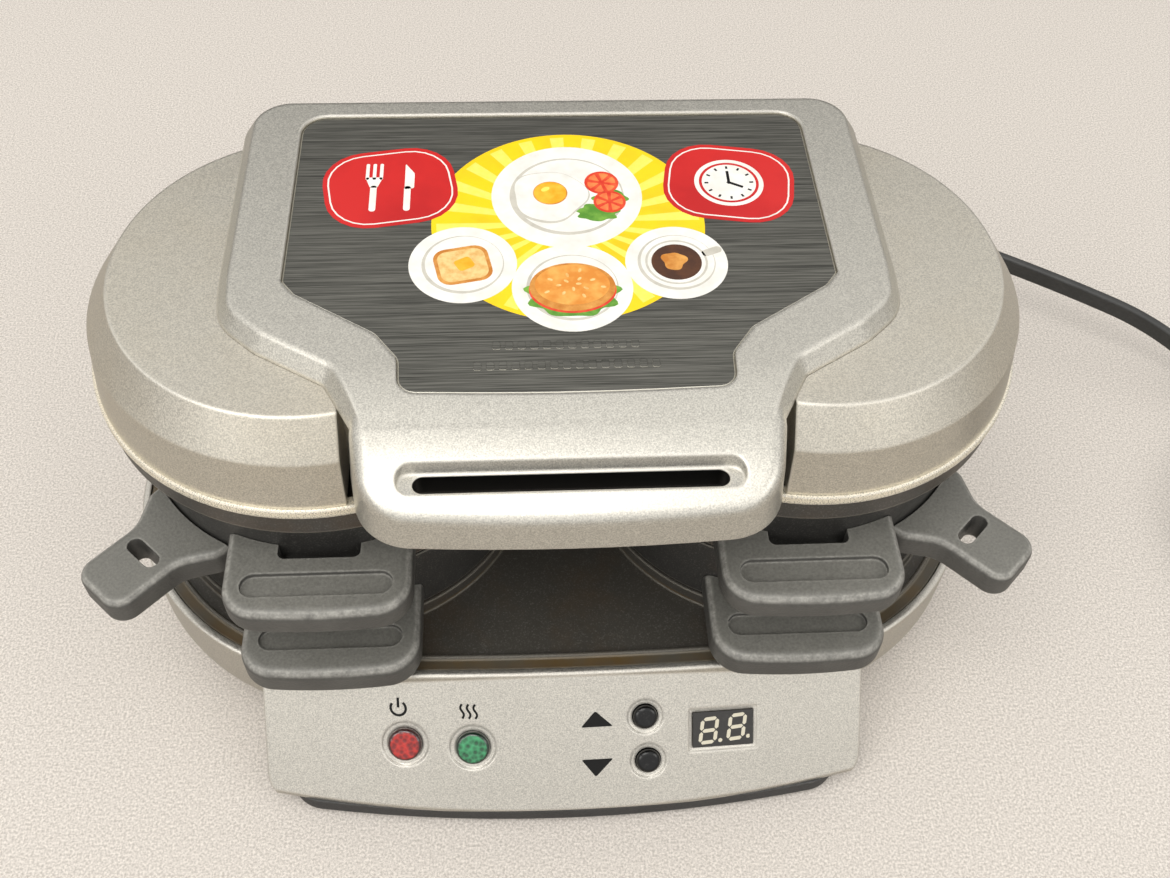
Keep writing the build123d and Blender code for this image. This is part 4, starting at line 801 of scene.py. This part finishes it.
# toast, a cup of coffee and a seeded roll along the lower edge
plate(-25.5, -5.5, 14.0, 4)
art.append((rounded_box(-25.5, -5.8, 14.4, 13.2, 3.6, 0.2), *layer(7), crust))
art.append((rounded_box(-25.5, -5.8, 12.4, 11.2, 2.8, 0.2), *layer(8), crumb))
art.append((rounded_box(-25.1, -5.4, 4.6, 4.2, 1.0, 0.5), *layer(9), yolk))
plate(30.0, -6.0, 13.4, 4)
art.append((rounded_box(39.6, -2.2, 5.6, 2.4, 1.1, 0.4), *layer(7), shade))
art.append((disc(30.0, -6.0, 8.2), *layer(7), shade))
art.append((disc(30.0, -6.0, 7.6), *layer(8), white))
art.append((disc(30.0, -6.0, 6.6), *layer(9), coffee))
art.append((wavy(29.4, -5.6, 3.2, 0.12, 3, 0.4), *layer(10), crust))
plate(2.5, -14.5, 15.5, 7)
art.append((wavy(2.5, -16.6, 11.6, 0.07, 9, 0.2, 0.72), *layer(10), leaf))
art.append((disc(2.5, -15.4, 11.2, 8.3), *layer(11), tomato))
art.append((disc(2.5, -14.4, 11.0, 8.6), *layer(12), crust))
art.append((disc(2.5, -13.6, 9.6, 7.2), *layer(13), bun_top))
for k in range(14):
    angle, reach = 2.4 * k, 1.6 + 0.5 * k
    seed = disc(2.5 + reach * math.cos(angle), -13.4 + 0.72 * reach * math.sin(angle), 0.75, 0.4, angle, 12)
    art.append((seed, *layer(14), crumb))
# two rows of neutral ribs near the front of the insert
RIB_PITCH, RIB_WIDTH, RIB_LENGTH, RIB_TOP = 3.1, 1.9, 2.6, 0.16
for count, y in ((12, -34.2), (15, -40.8)):
    for k in range(count):
        x = (k - (count - 1) / 2) * RIB_PITCH
        art.append((rounded_box(x, y, RIB_WIDTH, RIB_LENGTH, 0.5), SUNK, RIB_TOP, looks["insert"]))
prisms("insert_print", art, on_insert, "lid")

# ---------------------------------------------------------------- floor, lights and world
FLOOR_HALF = 4
floor_corners = [(x * FLOOR_HALF, y * FLOOR_HALF, 0) for x, y in ((-1, -1), (1, -1), (1, 1), (-1, 1))]
floor_mesh = bpy.data.meshes.new("floor")
floor_mesh.from_pydata(floor_corners, [], [(0, 1, 2, 3)])
floor = bpy.data.objects.new("floor", floor_mesh)
bpy.context.scene.collection.objects.link(floor)
floor_look = Look("floor_pale")
speckle = floor_look.spread(floor_look.noise(1350, 3.0, 0.75), 0.36, 0.64)
laminate = floor_look.mix(speckle, rgb(182, 175, 167), rgb(236, 229, 221))
# the silver walls mirror a darker floor than the one that is seen
mirrored = floor_look.add("ShaderNodeLightPath").outputs["Is Glossy Ray"]
floor_look.set(Base_Color=floor_look.mix(mirrored, laminate, rgb(172, 165, 156)), Roughness=0.6)
floor_mesh.materials.append(floor_look.material)

world = bpy.data.worlds.new("world")
world.use_nodes = True
sky = world.node_tree
from_where = sky.nodes.new("ShaderNodeTexCoord").outputs["Generated"]
split = sky.nodes.new("ShaderNodeSeparateXYZ")
sky.links.new(from_where, split.inputs[0])


def sky_math(operation, a, b):
    made = sky.nodes.new("ShaderNodeMath")
    made.operation = operation
    for socket, value in zip(made.inputs, (a, b)):
        if isinstance(value, float):
            socket.default_value = value
        else:
            sky.links.new(value, socket)
    return made.outputs[0]


def sky_level(value, low, high, to_low, to_high):
    made = sky.nodes.new("ShaderNodeMapRange")
    for name, number in (("From Min", low), ("From Max", high), ("To Min", to_low), ("To Max", to_high)):
        made.inputs[name].default_value = number
    sky.links.new(value, made.inputs["Value"])
    return made.outputs["Result"]


# a room that is dark low behind the maker, pale above and at its sides, and brightest in front
toward_back = sky_math("MULTIPLY", split.outputs["Y"], -0.75)
toward_side = sky_math("MULTIPLY", sky_math("ABSOLUTE", split.outputs["X"], 0.0), 0.6)
pale = sky_math("ADD", sky_math("ADD", toward_back, toward_side), split.outputs["Z"])
by_height = sky_level(split.outputs["Z"], 0.0, 0.7, 0.5, 1.05)
by_depth = sky_level(split.outputs["Y"], -0.75, 0.0, 1.3, 1.0)
upper = sky_math("MULTIPLY", sky_level(pale, 0.03, 0.22, 0.04, 0.92), by_height)
strength = sky_math("MULTIPLY", upper, by_depth)
sky.links.new(strength, sky.nodes["Background"].inputs["Strength"])
sky.nodes["Background"].inputs["Color"].default_value = (1.0, 0.985, 0.96, 1)
bpy.context.scene.world = world


LAMP_COLOUR = (1, 0.98, 0.95)


def area_light(name, place, target, size, power):
    """A rectangular lamp at a place in metres, turned to a target; its power is in watts."""
    data = bpy.data.lights.new(name, "AREA")
    data.shape = "RECTANGLE"
    data.size, data.size_y = size
    data.energy = power
    data.color = LAMP_COLOUR
    lamp = bpy.data.objects.new(name, data)
    bpy.context.scene.collection.objects.link(lamp)
    lamp.location = place
    lamp.rotation_euler = (Vector(target) - Vector(place)).to_track_quat("-Z", "Y").to_euler()


area_light("key", (-0.3, -0.5, 1.45), (0, 0, 0.08), (1.0, 0.7), 6.4)
area_light("front_left", (-1.0, -0.85, 0.95), (0, 0, 0.1), (0.9, 0.5), 3.6)
area_light("front_right", (1.05, -0.8, 0.9), (0, 0, 0.1), (0.9, 0.5), 2.8)
bpy.context.scene.view_settings.view_transform = "Standard"
